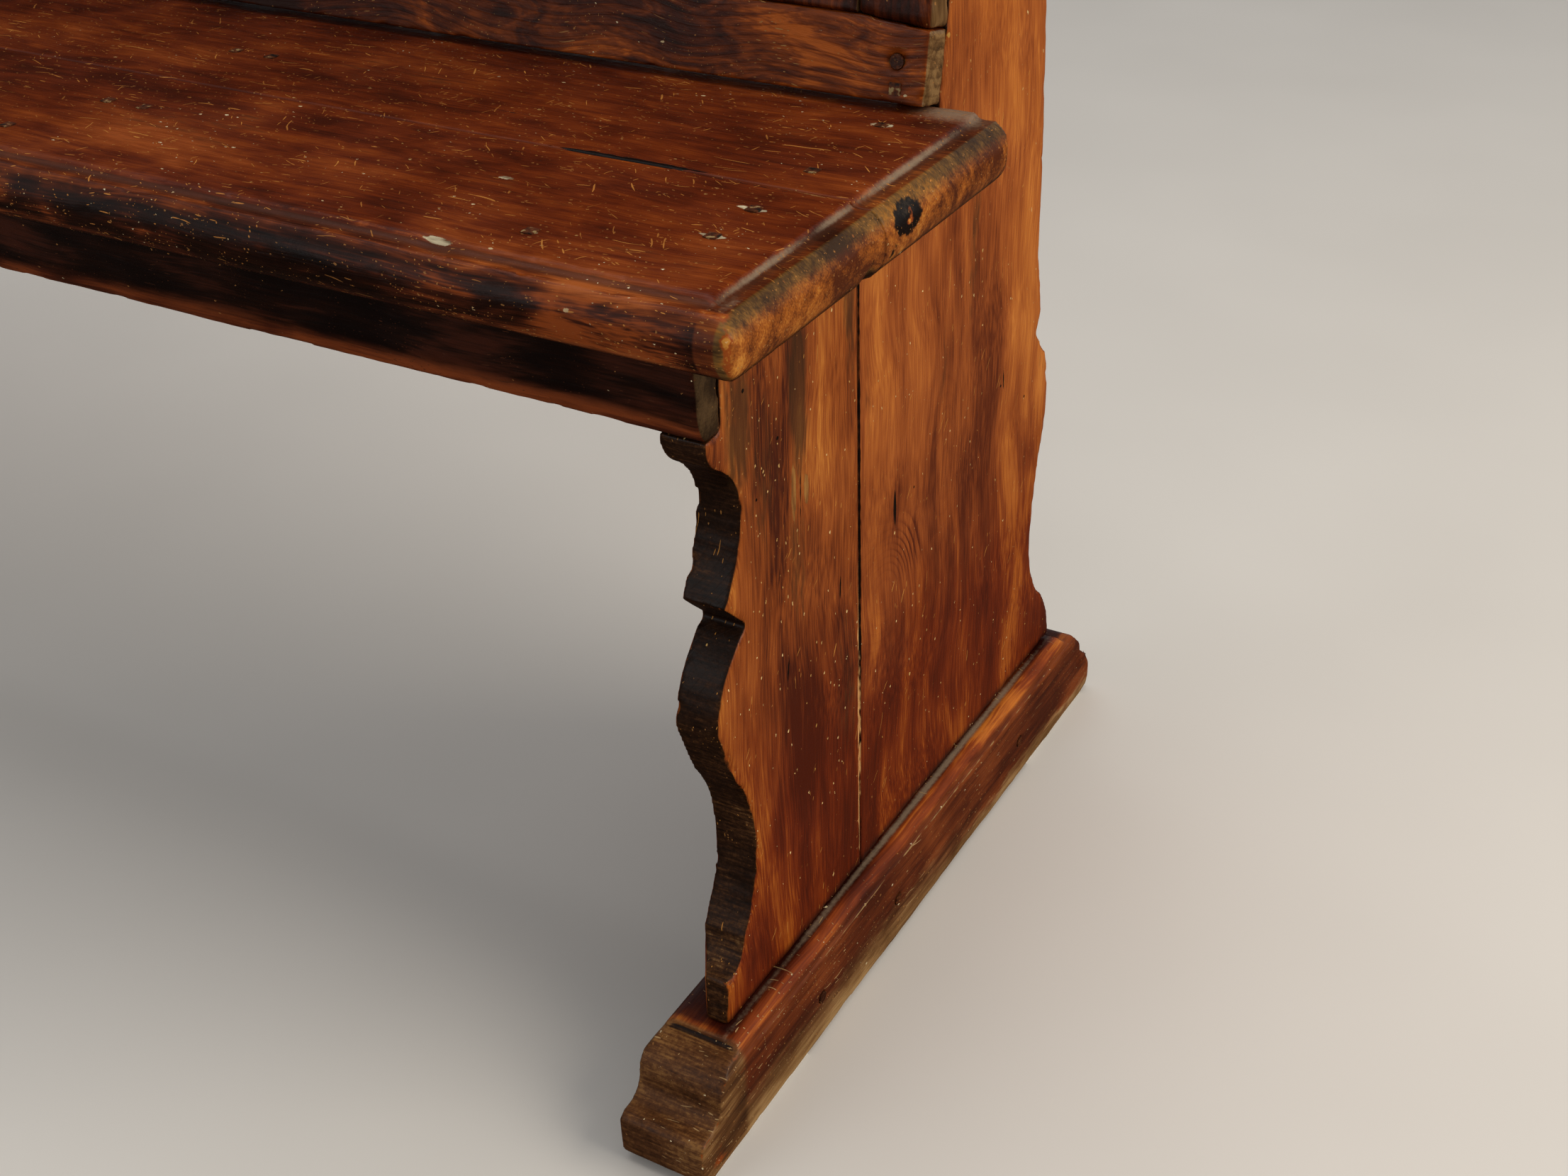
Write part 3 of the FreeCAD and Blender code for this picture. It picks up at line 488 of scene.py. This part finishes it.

# The seat's boards. Planed and varnished pine that was sat on: satin, short red-brown flames, nearly
# black along the front of the moulded nose, where painted shade deepens the dark varnish, peppered with
# pale paint and crossed by fine light scratches.
top = 476     # the seat's upper face
seatLook = {
    **baseLook,
    "pith": {"Y": -120, "Z": 410}, "weights": (0.75, 0.6, 0.35, 0.55), "flame": 11, "flameLay": 0.32,
    "tones": [(0.25, "3a1103"), (0.4, "501b05"), (0.52, "602408"), (0.66, "74320c"), (0.85, "90461a")],
    "zones": [
        {"by": "Y", "from": -217, "to": -222, "ragged": 4, "tones": [
            (0.3, "290c02"), (0.45, "4a1c08"), (0.58, "6e300c"), (0.72, "9a5020")]},
        # front of the nose: dark varnish deepened to near black by painted shade
        {"by": "Y", "from": -226, "to": -231, "ragged": 5, "tones": [
            (0.3, "0c0200"), (0.5, "220a02"), (0.62, "421805"), (0.76, "863c0e")]},
        {"by": "X", "from": 734.4, "to": 736, "tones": [
            (0.3, "2c0f03"), (0.45, "4a1d08"), (0.58, "632c0c"), (0.75, "8e4a18")]},
        {"by": "X", "from": 743.6, "to": 745, "tones": [
            (0.3, "33200f"), (0.45, "4d3417"), (0.58, "6b4a20"), (0.75, "96611f")]},
        {"by": "Z", "from": 471, "to": 464, "ragged": 5, "only": ("X", 0.7475, 0.7505), "tones": [
            (0.3, "4a200a"), (0.42, "6e3810"), (0.55, "925018"), (0.72, "b8782e")]},
        # painted shade: the seat boards darkened below the nose and on their underside
        {"by": "Z", "from": 450, "to": 446, "tint": "6a5038"},
    ],
    "specks": 0.4, "speckSizes": [(3.2, 0.45), (8, 0.9)], "grime": "3a2012", "grimeShare": 0.6,
    "speckTones": [(0.38, "7c4a22"), (0.5, "a07a48"), (0.64, "d4c4a0")], "scratch": "b27434",
    "scratches": [*baseLook["scratches"], ((0, 0, 0.03), (15, 0.5), 0.75), ((0, 0, -0.95), (9, 0.45), 0.6)],
    "cracks": [((572, -101.0, top + 0.5), (664, -100.0, top + 0.5), 2.4),
               ((645, -103, top + 0.5), (735, -106, top + 0.5), 0.3),
               ((760, -113, 470), (748, -113, 448), 0.5),
               ((520, -70, top + 0.5), (560, -69, top + 0.5), 0.5)],
    "paleLinesAndHighlights": [((660, -101, top + 0.5), (735, -104.5, top + 0.5), 0.35),
                  ((728, -103, 474), (748, -112, 470), 0.4)],
}
seatFinish = oldVarnishedPine("pineHandPlanedDarkVarnish", seatLook)

seatFront = {
    "slot": "seat_pine", "grid": 1.3, "wear": 0.75, "chipDepth": 1.0, "waveDepth": 0.22,
    "tight": [(1, -102.0)],
    "filler": [((621, -98.5, top), (12, 2.6, 4), 1.0), ((702, -128.5, top), (12, 4, 4), 0.75),
               ((702, -162.5, top), (11, 4, 4), 0.75), ((599.5, -215.6, top), (14, 4, 4), 0.7),
               ((582.9, -144.4, top), (8, 3, 4), 0.7), ((630, -192, top), (8, 3, 4), 0.65)],
    "gold": [((751, -232, 463), (3, 3, 16), 0.7), ((740, -224, 474), (14, 5, 4), 0.45),
             ((660, -222, 472), (80, 5, 4), 0.35), ((560, -218, top), (90, 4, 4), 0.4),
             ((583, -144, top), (20, 6, 4), 0.3), ((630, -104, top), (30, 2.5, 4), 0.55)],
    "soot": [((560, -229, 464), (44, 5, 5), 0.4), ((640, -230, 460), (50, 6, 6), 0.32),
             ((745, -225, 455), (60, 6, 5), 0.3)],
    "stain": [((600, -150, top), (60, 24, 8), 0.25), ((400, -150, top), (90, 26, 8), 0.2),
              ((690, -190, top), (40, 12, 8), 0.2), ((750, -150, 473), (9, 60, 4), 0.3)],
    # pale lines along the quirk at the end: dust, with the highlight the quirk catches painted in
    "dustAndHighlight": [((736, -180, 474), (2, 45, 3), 0.62), ((736, -118, 474), (2, 24, 3), 0.6),
             ((741, -213, 475), (5, 12, 4), 0.45)],
    "flecks": [((625, -118, top), (45, 10, 4), 0.6), ((700, -150, top), (26, 26, 4), 0.35),
               ((680, -205, top), (60, 8, 4), 0.4)],
    "dents": [((599.5, -218, 477), (12, 5, 6), 1.2), ((749, -231, top), (7, 7, 6), 1.8),
              ((752, -112, 446), (8, 5, 6), 2.5)],
}
seatRear = {
    "slot": "seat_pine", "grid": 1.4, "wear": 0.75, "chipDepth": 0.9, "waveDepth": 0.22,
    "tight": [(1, -102.0)],
    "filler": [((702, -8.5, top), (10, 4, 4), 0.75)],
    "soot": [((751, -80, 464), (12, 15, 9), 1.1), ((752, -93, 452), (6, 5, 9), 0.6)],
    "gold": [((752, -79, 462), (6, 4, 1.6), 0.7), ((752, -77, 465), (6, 1.6, 4), 0.6)],
    "stain": [((640, -40, top), (70, 26, 8), 0.2), ((450, -50, top), (110, 30, 8), 0.2),
              ((750, -60, 473), (9, 50, 5), 0.3)],
    # pale line along the quirk at the end: dust, with the highlight the quirk catches painted in
    "dustAndHighlight": [((726, 22, top), (24, 16, 6), 0.62), ((736, -45, 474), (2, 60, 3), 0.6),
             ((752, -80, 470), (6, 16, 8), 0.25)],
    "flecks": [((560, -70, top), (80, 20, 4), 0.3)],
}
wornPiece("seat_front_board", seatFront, seatFinish)
wornPiece("seat_rear_board", seatRear, seatFinish)

# The planks of the ends. Red varnish over long gold and orange flames, darker towards the floor; the
# sawn and rasped edges drank the stain and are almost black, with gold specks on their arrises.
side = 715     # the outer face of the right end
endLook = {
    **baseLook,
    "grain": "Z", "wander": 22, "flame": 20, "flameLay": 0.18, "twist": 0.5,
    "weights": (0.85, 0.9, 0.5, 0.35),
    "pith": {"X": 560, "Y": 10}, "ring": 3.2, "ringShare": 0.02, "figureShare": 0.45,
    "knots": [((side, -18.8, 236), (40, 34, 36), 34), ((side, 62, 285), (30, 22, 40), -20)],
    "tones": [(0.2, "58240c"), (0.38, "803e16"), (0.54, "98501e"), (0.7, "ae6426"), (0.88, "c67c34")],
    "zones": [
        {"by": "Y", "from": -54, "to": -59, "tones": [
            (0.24, "42190a"), (0.4, "743610"), (0.54, "8e4818"), (0.68, "a65f22"), (0.84, "c88234")]},
        {"by": "Z", "from": 320, "to": 150, "ragged": 70, "tones": [
            (0.26, "461403"), (0.42, "5a1c03"), (0.56, "722b05"), (0.74, "9e5214")]},
        {"by": "Z", "from": 74, "to": 65, "tint": "604c40"},
        {"by": "Z", "from": 470, "to": 560, "ragged": 20, "tones": [
            (0.25, "7a3a12"), (0.42, "964e1a"), (0.56, "a85c1e"), (0.74, "bc7028")]},
        {"by": "faceX", "from": 0.75, "to": 0.45, "strokes": True, "tones": [
            (0.36, "0e0501"), (0.48, "1c0d04"), (0.57, "2c1708"), (0.66, "4c2e14"), (0.76, "80603a")]},
    ],
    "rubbed": 0.32, "specks": 0.08, "arrisSpecks": 0.5, "speckSizes": [(4.0, 0.6), (11, 1.0)],
    "speckTones": [(0.35, "a87a34"), (0.6, "dcc088")],
    "paleLineAndHighlightTone": "d8a468", "scratch": "b57a34",
    "scratches": [((0, -1.4, 1.571), (12, 0.35), 0.4), ((0, -0.9, 1.571), (7, 0.35), 0.35)],
    "stain": "3a2412", "gold": "b98b4a", "filler": [(0.35, "6e451c"), (0.5, "855726"), (0.65, "94662f")],
    "cracks": [((side, -56.8, 0), (side, -56.8, 560), 1.2),
               ((side, -17.7, 290), (side, -17.0, 262), 1.6),
               ((side, 118, 300), (side, 119, 282), 0.9),
               ((side, -131, 250), (side, -133, 236), 0.8), ((side, -78, 268), (side, -79, 252), 0.9),
               ((side, -116, 350), (side, -117, 315), 0.5)],
    "holes": [((side, 115, 288), 0.9), ((side, 150, 266), 0.9), ((side, 5, 277), 0.8),
              ((side, -164, 408), 1.1), ((side, -136, 372), 1.0), ((side, -156, 350), 0.8)],
    "paleLinesAndHighlights": [((714.8, -58.4, 275), (714.8, -58.2, 40), 2.2)],
    "crackWander": 1.2, "gloss": (0.34, 0.46),
}
endFinish = oldVarnishedPine("pinePlankRedVarnish", endLook)

endFrontRight = {
    "slot": "end_pine", "grid": 1.4, "wear": 0.8, "chipDepth": 1.3, "waveDepth": 0.2, "rasp": 0.2,
    "tight": [(1, -57.5)],
    "filler": [((side, -122.7, 337), (6, 3, 22), 0.9), ((side, -110.6, 333), (6, 3, 12), 0.9)],
    "stain": [((side, -117, 392), (8, 9, 40), 0.9), ((side, -150, 432), (8, 60, 14), 0.6),
              ((side, -168, 395), (8, 14, 40), 0.65), ((side, -150, 360), (8, 20, 50), 0.45),
              ((side, -66, 400), (8, 7, 60), 0.6), ((side, -72, 200), (8, 12, 60), 0.35),
              ((side, -120, 300), (8, 12, 50), 0.35)],
    "gold": [((side, -134, 310), (6, 4, 40), 0.2), ((side, -112, 265), (6, 8, 16), 0.3)],
    "flecks": [((side, -133, 330), (8, 9, 60), 0.5), ((side, -100, 215), (8, 20, 50), 0.25),
               ((side, -150, 350), (8, 12, 60), 0.35)],
}
endStandardRight = {
    "slot": "end_pine", "grid": 2.0, "wear": 0.7, "chipDepth": 0.7, "waveDepth": 0.25, "rasp": 0.15,
    "tight": [(1, -56.7)],
    "stain": [((side, -40, 436), (8, 40, 10), 0.45), ((side, 75, 395), (8, 8, 60), 0.45),
              ((side, -48, 360), (8, 6, 40), 0.4), ((side, 40, 330), (8, 9, 40), 0.3)],
    "figure": [((side, 4, 244), (8, 16, 14), 1.0), ((side, 78, 262), (8, 12, 18), 0.4),
               ((side, 128, 420), (8, 10, 10), 0.6)],
}
wornPiece("end_front_plank_right", endFrontRight, endFinish)
wornPiece("end_standard_right", endStandardRight, endFinish)
endLeft = {"slot": "end_pine", "grid": 2.6, "wear": 0.7, "chipDepth": 1.0, "waveDepth": 0.25, "rasp": 0.2}
wornPiece("end_front_plank_left", endLeft, endFinish)
wornPiece("end_standard_left", endLeft, endFinish)

# The feet. Scuffed by shoes and wet mops: brown varnish, duller and greyer low down and at the toes,
# with gold where the arrises are bare.
footLook = {
    **baseLook,
    "grain": "Y", "pith": {"X": 640, "Z": 160}, "flame": 9, "flameLay": 0.12,
    "weights": (0.8, 0.6, 0.3, 0.7),
    "tones": [(0.25, "381407"), (0.42, "481c09"), (0.56, "5a260c"), (0.74, "763814")],
    "zones": [
        {"by": "Z", "from": 59.5, "to": 62, "ragged": 2, "tones": [
            (0.3, "4a1805"), (0.45, "682807"), (0.58, "84390d"), (0.74, "b86820")]},
        {"by": "Z", "from": 17, "to": 5, "ragged": 16, "only": ("faceX", 0.3, 0.7), "tones": [
            (0.3, "5a3c1e"), (0.5, "7c5a34"), (0.7, "a48256")]},
        {"by": "Z", "from": 34, "to": 12, "ragged": 20, "only": ("Y", 0.1, -0.08), "tones": [
            (0.3, "54361a"), (0.5, "765430"), (0.7, "9c7a4e")]},
        {"by": "Y", "from": -207, "to": -213, "tones": [
            (0.3, "2e1a0c"), (0.45, "462a14"), (0.58, "5c3a1c"), (0.74, "846038")]},
        {"by": "Y", "from": -207, "to": -213, "strokes": True, "only": ("faceX", 0.7, 0.4), "tones": [
            (0.36, "261207"), (0.46, "402410"), (0.55, "58351a"), (0.66, "80582e")]},
        {"by": "X", "from": 720.5, "to": 717.5, "ragged": 1, "only": ("Y", -0.209, -0.204),
         "tint": "867064"},
    ],
    "rubbed": 0.32, "specks": 0.12, "scratch": "a58458",
    "scratches": [((0, 0.05, 1.571), (14, 0.4), 0.7), ((0, 0, 0.1), (9, 0.4), 1.0),
                  ((0, 0.1, -0.1), (7, 0.35), 1.0)],
    # the pale line along the arris of the ledge is a painted highlight
    "paleLinesAndHighlights": [((728.6, -240, 56.6), (728.6, 290, 56.6), 0.6)], "paleLineAndHighlightTone": "94744a",
    "gloss": (0.36, 0.5), "crackWander": 0.8,
}
footFinish = oldVarnishedPine("pineFootScuffedVarnish", footLook)
footRight = {
    "slot": "foot_pine", "grid": 1.2, "wear": 0.8, "chipDepth": 0.7, "waveDepth": 0.2, "reach": 1.8,
    "gold": [((729, -212, 50), (6, 8, 10), 0.4), ((729, -238, 12), (6, 10, 12), 0.45)],
    "dustAndHighlight": [((716.6, 20, 64.5), (2.4, 240, 4), 0.62)],
    # the rear toe's steps are worn down to a slope
    "dents": [((704, 254, 31), (60, 8, 8), 4.5), ((704, 236, 34), (60, 6, 6), -3.0),
              ((704, 231, 57), (60, 7, 8), 3.0), ((704, 212, 66), (60, 8, 6), 1.2)],
}
footLeft = {"slot": "foot_pine", "grid": 2.4, "wear": 0.85, "chipDepth": 0.8, "waveDepth": 0.25}
wornPiece("foot_right", footRight, footFinish)
wornPiece("foot_left", footLeft, footFinish)

# The apron. Dark varnish painted near black as the shade under the seat, with brown wood along the worn
# lower bevel.
apronShadedLook = {
    **baseLook,
    # near-black tones: painted shade under the seat over the dark varnish
    "tones": [(0.25, "080100"), (0.45, "0e0200"), (0.6, "1a0600"), (0.8, "3c1606")],
    "zones": [
        {"by": "Z", "from": 411, "to": 402, "ragged": 4, "tones": [
            (0.25, "240a01"), (0.5, "4a1b07"), (0.75, "7e3a14")]},
        {"by": "faceX", "from": 0.5, "to": 0.8, "tones": [
            (0.25, "1c120a"), (0.5, "302110"), (0.75, "4c3820")]},
    ],
    "rubbed": 0.2, "specks": 0.04, "scratch": "4a2410",
}
apronShadedFinish = oldVarnishedPine("pineApronVarnishPaintedShade", apronShadedLook)
wornPiece("front_apron", {"slot": "apron_pine", "grid": 1.8, "wear": 0.7, "chipDepth": 0.6}, apronShadedFinish)

# Rail and battens under the seat. Sawn pine, never finished: matt, rough and grey-brown.
underLook = {
    **baseLook,
    "tones": [(0.25, "3a281a"), (0.45, "513a26"), (0.6, "685034"), (0.8, "85694a")],
    "rubbed": 0.2, "specks": 0.05, "gloss": (0.7, 0.85), "relief": 0.3,
}
underFinish = oldVarnishedPine("pineSawnBare", underLook)
underPiece = {"slot": "under_pine", "grid": 3.0, "wear": 0.6, "chipDepth": 0.6}
for nodeName in ("seat_rear_rail", "seat_batten_1", "seat_batten_2", "seat_batten_3"):
    wornPiece(nodeName, underPiece, underFinish)

# The framed back. Red-brown varnish over swirling figure on the rails, straighter on the stiles and
# muntins, calm on the panels; end grain at the sides is paler and duller.
railLook = {
    **baseLook,
    "grain": "X", "pith": {"Y": 60, "Z": 560}, "flame": 12, "flameLay": 0.3, "twist": 1.6, "wander": 40,
    "ringShare": 0.1,
    "tones": [(0.2, "240b02"), (0.38, "3c1504"), (0.54, "572407"), (0.7, "78360c"), (0.86, "a85418")],
    "zones": [
        {"by": "faceX", "from": 0.5, "to": 0.8, "tones": [
            (0.25, "3a2914"), (0.5, "5a3f22"), (0.75, "7e603a")]},
    ],
    "rubbed": 0.25, "specks": 0.1,
}
railFinish = oldVarnishedPine("pineRailFiguredVarnish", railLook)
stileLook = {
    **railLook, "grain": "Z", "pith": {"X": 100, "Y": 60}, "twist": 0.8, "wander": 20,
    "scratches": endLook["scratches"],
}
stileFinish = oldVarnishedPine("pineStileVarnish", stileLook)
panelLook = {
    **stileLook, "zones": [], "flame": 18, "weights": (0.75, 0.5, 0.4, 0.3),
    "tones": [(0.2, "2e0f03"), (0.4, "4a1c06"), (0.56, "622a0a"), (0.76, "88441a")],
}
panelFinish = oldVarnishedPine("pinePanelVarnish", panelLook)
backRail = {
    "slot": "frame_pine", "grid": 1.7, "wear": 0.7, "chipDepth": 0.8, "waveDepth": 0.15,
    "soot": [((640, 0, 485), (60, 30, 12), 0.3)],
}
backFrame = {"slot": "frame_pine", "grid": 2.4, "wear": 0.7, "chipDepth": 0.8, "waveDepth": 0.15}
wornPiece("back_bottom_rail", backRail, railFinish)
wornPiece("back_top_rail", backFrame, railFinish)
for nodeName in ("back_stile_right", "back_stile_left", "back_muntin_1", "back_muntin_2", "back_muntin_3"):
    wornPiece(nodeName, backFrame, stileFinish)
backPanel = {"slot": "panel_pine", "grid": 3.0, "wear": 0.5, "chipDepth": 0.3}
backBeads = {"slot": "panel_pine", "grid": 1.5, "wear": 0.5, "chipDepth": 0.4, "waveDepth": 0.08}
for index in range(1, 5):
    wornPiece(f"back_panel_{index}", backPanel, panelFinish)
    wornPiece(f"back_panel_beads_{index}", backBeads, stileFinish)

# The cap over the back: the seat's finish, without what only the seat met.
capLook = {**seatLook, "zones": [], "cracks": [], "paleLinesAndHighlights": []}
capFinish = oldVarnishedPine("pineCapDarkVarnish", capLook)
wornPiece("back_cap", {"slot": "seat_pine", "grid": 2.4, "wear": 0.75, "chipDepth": 0.9}, capFinish)


def finishNodes(names, finish):
    for name in names:
        nodes[name].data.materials.clear()
        nodes[name].data.materials.append(finish)


# Pegs: pine too, whittled, their end grain dark with varnish
pegLook = {
    **railLook, "grain": "Y", "zones": [], "ring": 2.0, "flame": 3,
    "tones": [(0.25, "2c1206"), (0.5, "46200b"), (0.75, "5e3014")],
}
pegFinish = oldVarnishedPine("pinePegWhittled", pegLook)
finishNodes(("foot_pegs_right", "foot_pegs_left", "plank_dowels_right", "plank_dowels_left",
             "back_frame_pegs"), pegFinish)


def stoppedNails(name):
    # Cut iron nails with filler smeared over their heads: brown as the wood, with pale chipped spots.
    material, tree = emptyMaterial(name)
    place = addNode(tree, "TexCoord")["Object"]
    smear = addNode(tree, "TexNoise", {"Vector": place, "Scale": perMetre["smear"], "Detail": 4.0})[0]
    colour = addNode(tree, "ValToRGB", {0: smear}, stops=[
        (0.36, "140a05"), (0.44, "3e1c0a"), (0.56, "5a2d10"), (0.62, "8e7850")])[0]
    bump = addNode(tree, "Bump", {"Height": smear, "Distance": 0.4 * mm})[0]
    rough = addNode(tree, "MapRange", {"Value": smear, "To Min": 0.45, "To Max": 0.75})[0]
    surface = addNode(tree, "BsdfPrincipled", {
        "Base Color": colour, "Roughness": rough, "Normal": bump, "Specular IOR Level": 0.2})[0]
    addNode(tree, "OutputMaterial", {0: surface})
    return material


def pressedFelt(name):
    # Wool felt, pressed: matt, off-white, its fibres lying every way.
    material, tree = emptyMaterial(name)
    place = addNode(tree, "TexCoord")["Object"]
    fuzz = addNode(tree, "TexNoise", {"Vector": place, "Scale": perMetre["fuzz"], "Detail": 4.0,
                                      "Distortion": 2.0})[0]
    colour = addNode(tree, "ValToRGB", {0: fuzz}, stops=[
        (0.3, "b9b4aa"), (0.6, "e2ded6"), (0.8, "f2f0ea")])[0]
    bump = addNode(tree, "Bump", {"Height": fuzz, "Distance": 0.4 * mm})[0]
    surface = addNode(tree, "BsdfPrincipled", {
        "Base Color": colour, "Roughness": 0.95, "Normal": bump, "Sheen Weight": 0.3})[0]
    addNode(tree, "OutputMaterial", {0: surface})
    return material


nailFinish = stoppedNails("ironNailsStopped")
finishNodes(("seat_nails", "back_frame_nails", "back_cap_nails"), nailFinish)
feltFinish = pressedFelt("woolFeltPressed")
finishNodes(("felt_front_right", "felt_front_left", "felt_rear_right", "felt_rear_left"), feltFinish)
print("finishes on")

# Studio: pale floor, white beyond it, soft lamps
studio = {
    "floor": "d8d4ce", "floorMottle": "d3cfc9", "floorMirrored": "5c4030", "floorSize": 12.0,
    "world": 0.42,
}


def paleFloor(name):
    # Painted board floor of a studio: matt and even, with a faint mottle.
    material, tree = emptyMaterial(name)
    place = addNode(tree, "TexCoord")["Object"]
    mottle = addNode(tree, "TexNoise", {"Vector": place, "Scale": perMetre["mottle"]})[0]
    colour = addNode(tree, "ValToRGB", {0: mottle}, stops=[
        (0.3, studio["floorMottle"]), (0.7, studio["floor"])])[0]
    # mirrored in the varnish it is a brown floor, so that the dark wood stays deep
    mirrored = addNode(tree, "LightPath")["Is Glossy Ray"]
    colour = mixColour(tree, mirrored, colour, studio["floorMirrored"])
    surface = addNode(tree, "BsdfPrincipled", {"Base Color": colour, "Roughness": 0.8})[0]
    addNode(tree, "OutputMaterial", {0: surface})
    return material


floorMesh = bpy.data.meshes.new("studio_floor")
half = studio["floorSize"] / 2
corners = [(-half, -half, 0), (half, -half, 0), (half, half, 0), (-half, half, 0)]
floorMesh.from_pydata(corners, [], [(0, 1, 2, 3)])
floorPiece = bpy.data.objects.new("studio_floor", floorMesh)
bpy.context.scene.collection.objects.link(floorPiece)
floorMesh.materials.append(paleFloor("floorPaintedPale"))

world = bpy.data.worlds.new("studioWorld")
bpy.context.scene.world = world
world.use_nodes = True
sky = world.node_tree
sky.nodes.clear()
glow = addNode(sky, "Background", {"Color": "ffffff", "Strength": studio["world"]})[0]
addNode(sky, "OutputWorld", {0: glow})

lamps = {
    # name: place, aimed at, size, watts, colour
    "key": ((2.7, 0.25, 1.6), (0.65, 0.0, 0.3), (1.8, 1.4), 42, "fff4e4"),
    "top": ((0.1, 0.1, 2.9), (0.1, 0.0, 0.4), (2.6, 1.6), 20, "ffffff"),
    "front": ((-0.9, -2.8, 1.6), (0.0, 0.0, 0.5), (1.8, 1.4), 12, "ffffff"),
}
for name, (place, aim, size, watts, code) in lamps.items():
    data = bpy.data.lights.new(name + "Lamp", "AREA")
    data.shape = "RECTANGLE"
    data.size, data.size_y = size
    data.energy = watts
    data.color = hexColour(code)[:3]
    lamp = bpy.data.objects.new(name + "Lamp", data)
    lamp.location = place
    lamp.rotation_euler = (Vector(aim) - Vector(place)).to_track_quat("-Z", "Y").to_euler()
    bpy.context.scene.collection.objects.link(lamp)

# The photograph's camera: beside the right end, in front and above
shot = {"place": (1.11517, -0.81395, 0.78401), "lens": 45.075, "sensor": 36, "nearest": 0.02,
        "turn": 30.4862, "dip": 31.98971, "roll": -1.65938}
lens = bpy.data.cameras.new("shotLens")
lens.sensor_fit = "HORIZONTAL"
lens.sensor_width = shot["sensor"]
lens.lens = shot["lens"]
lens.clip_start = shot["nearest"]
camera = bpy.data.objects.new("shotCamera", lens)
bpy.context.scene.collection.objects.link(camera)
camera.matrix_world = (Matrix.Translation(shot["place"])
                       @ Matrix.Rotation(math.radians(shot["turn"]), 4, "Z")
                       @ Matrix.Rotation(math.radians(90 - shot["dip"]), 4, "X")
                       @ Matrix.Rotation(math.radians(shot["roll"]), 4, "Z"))
bpy.context.scene.camera = camera
bpy.context.scene.view_settings.view_transform = "Standard"
print("studio set")
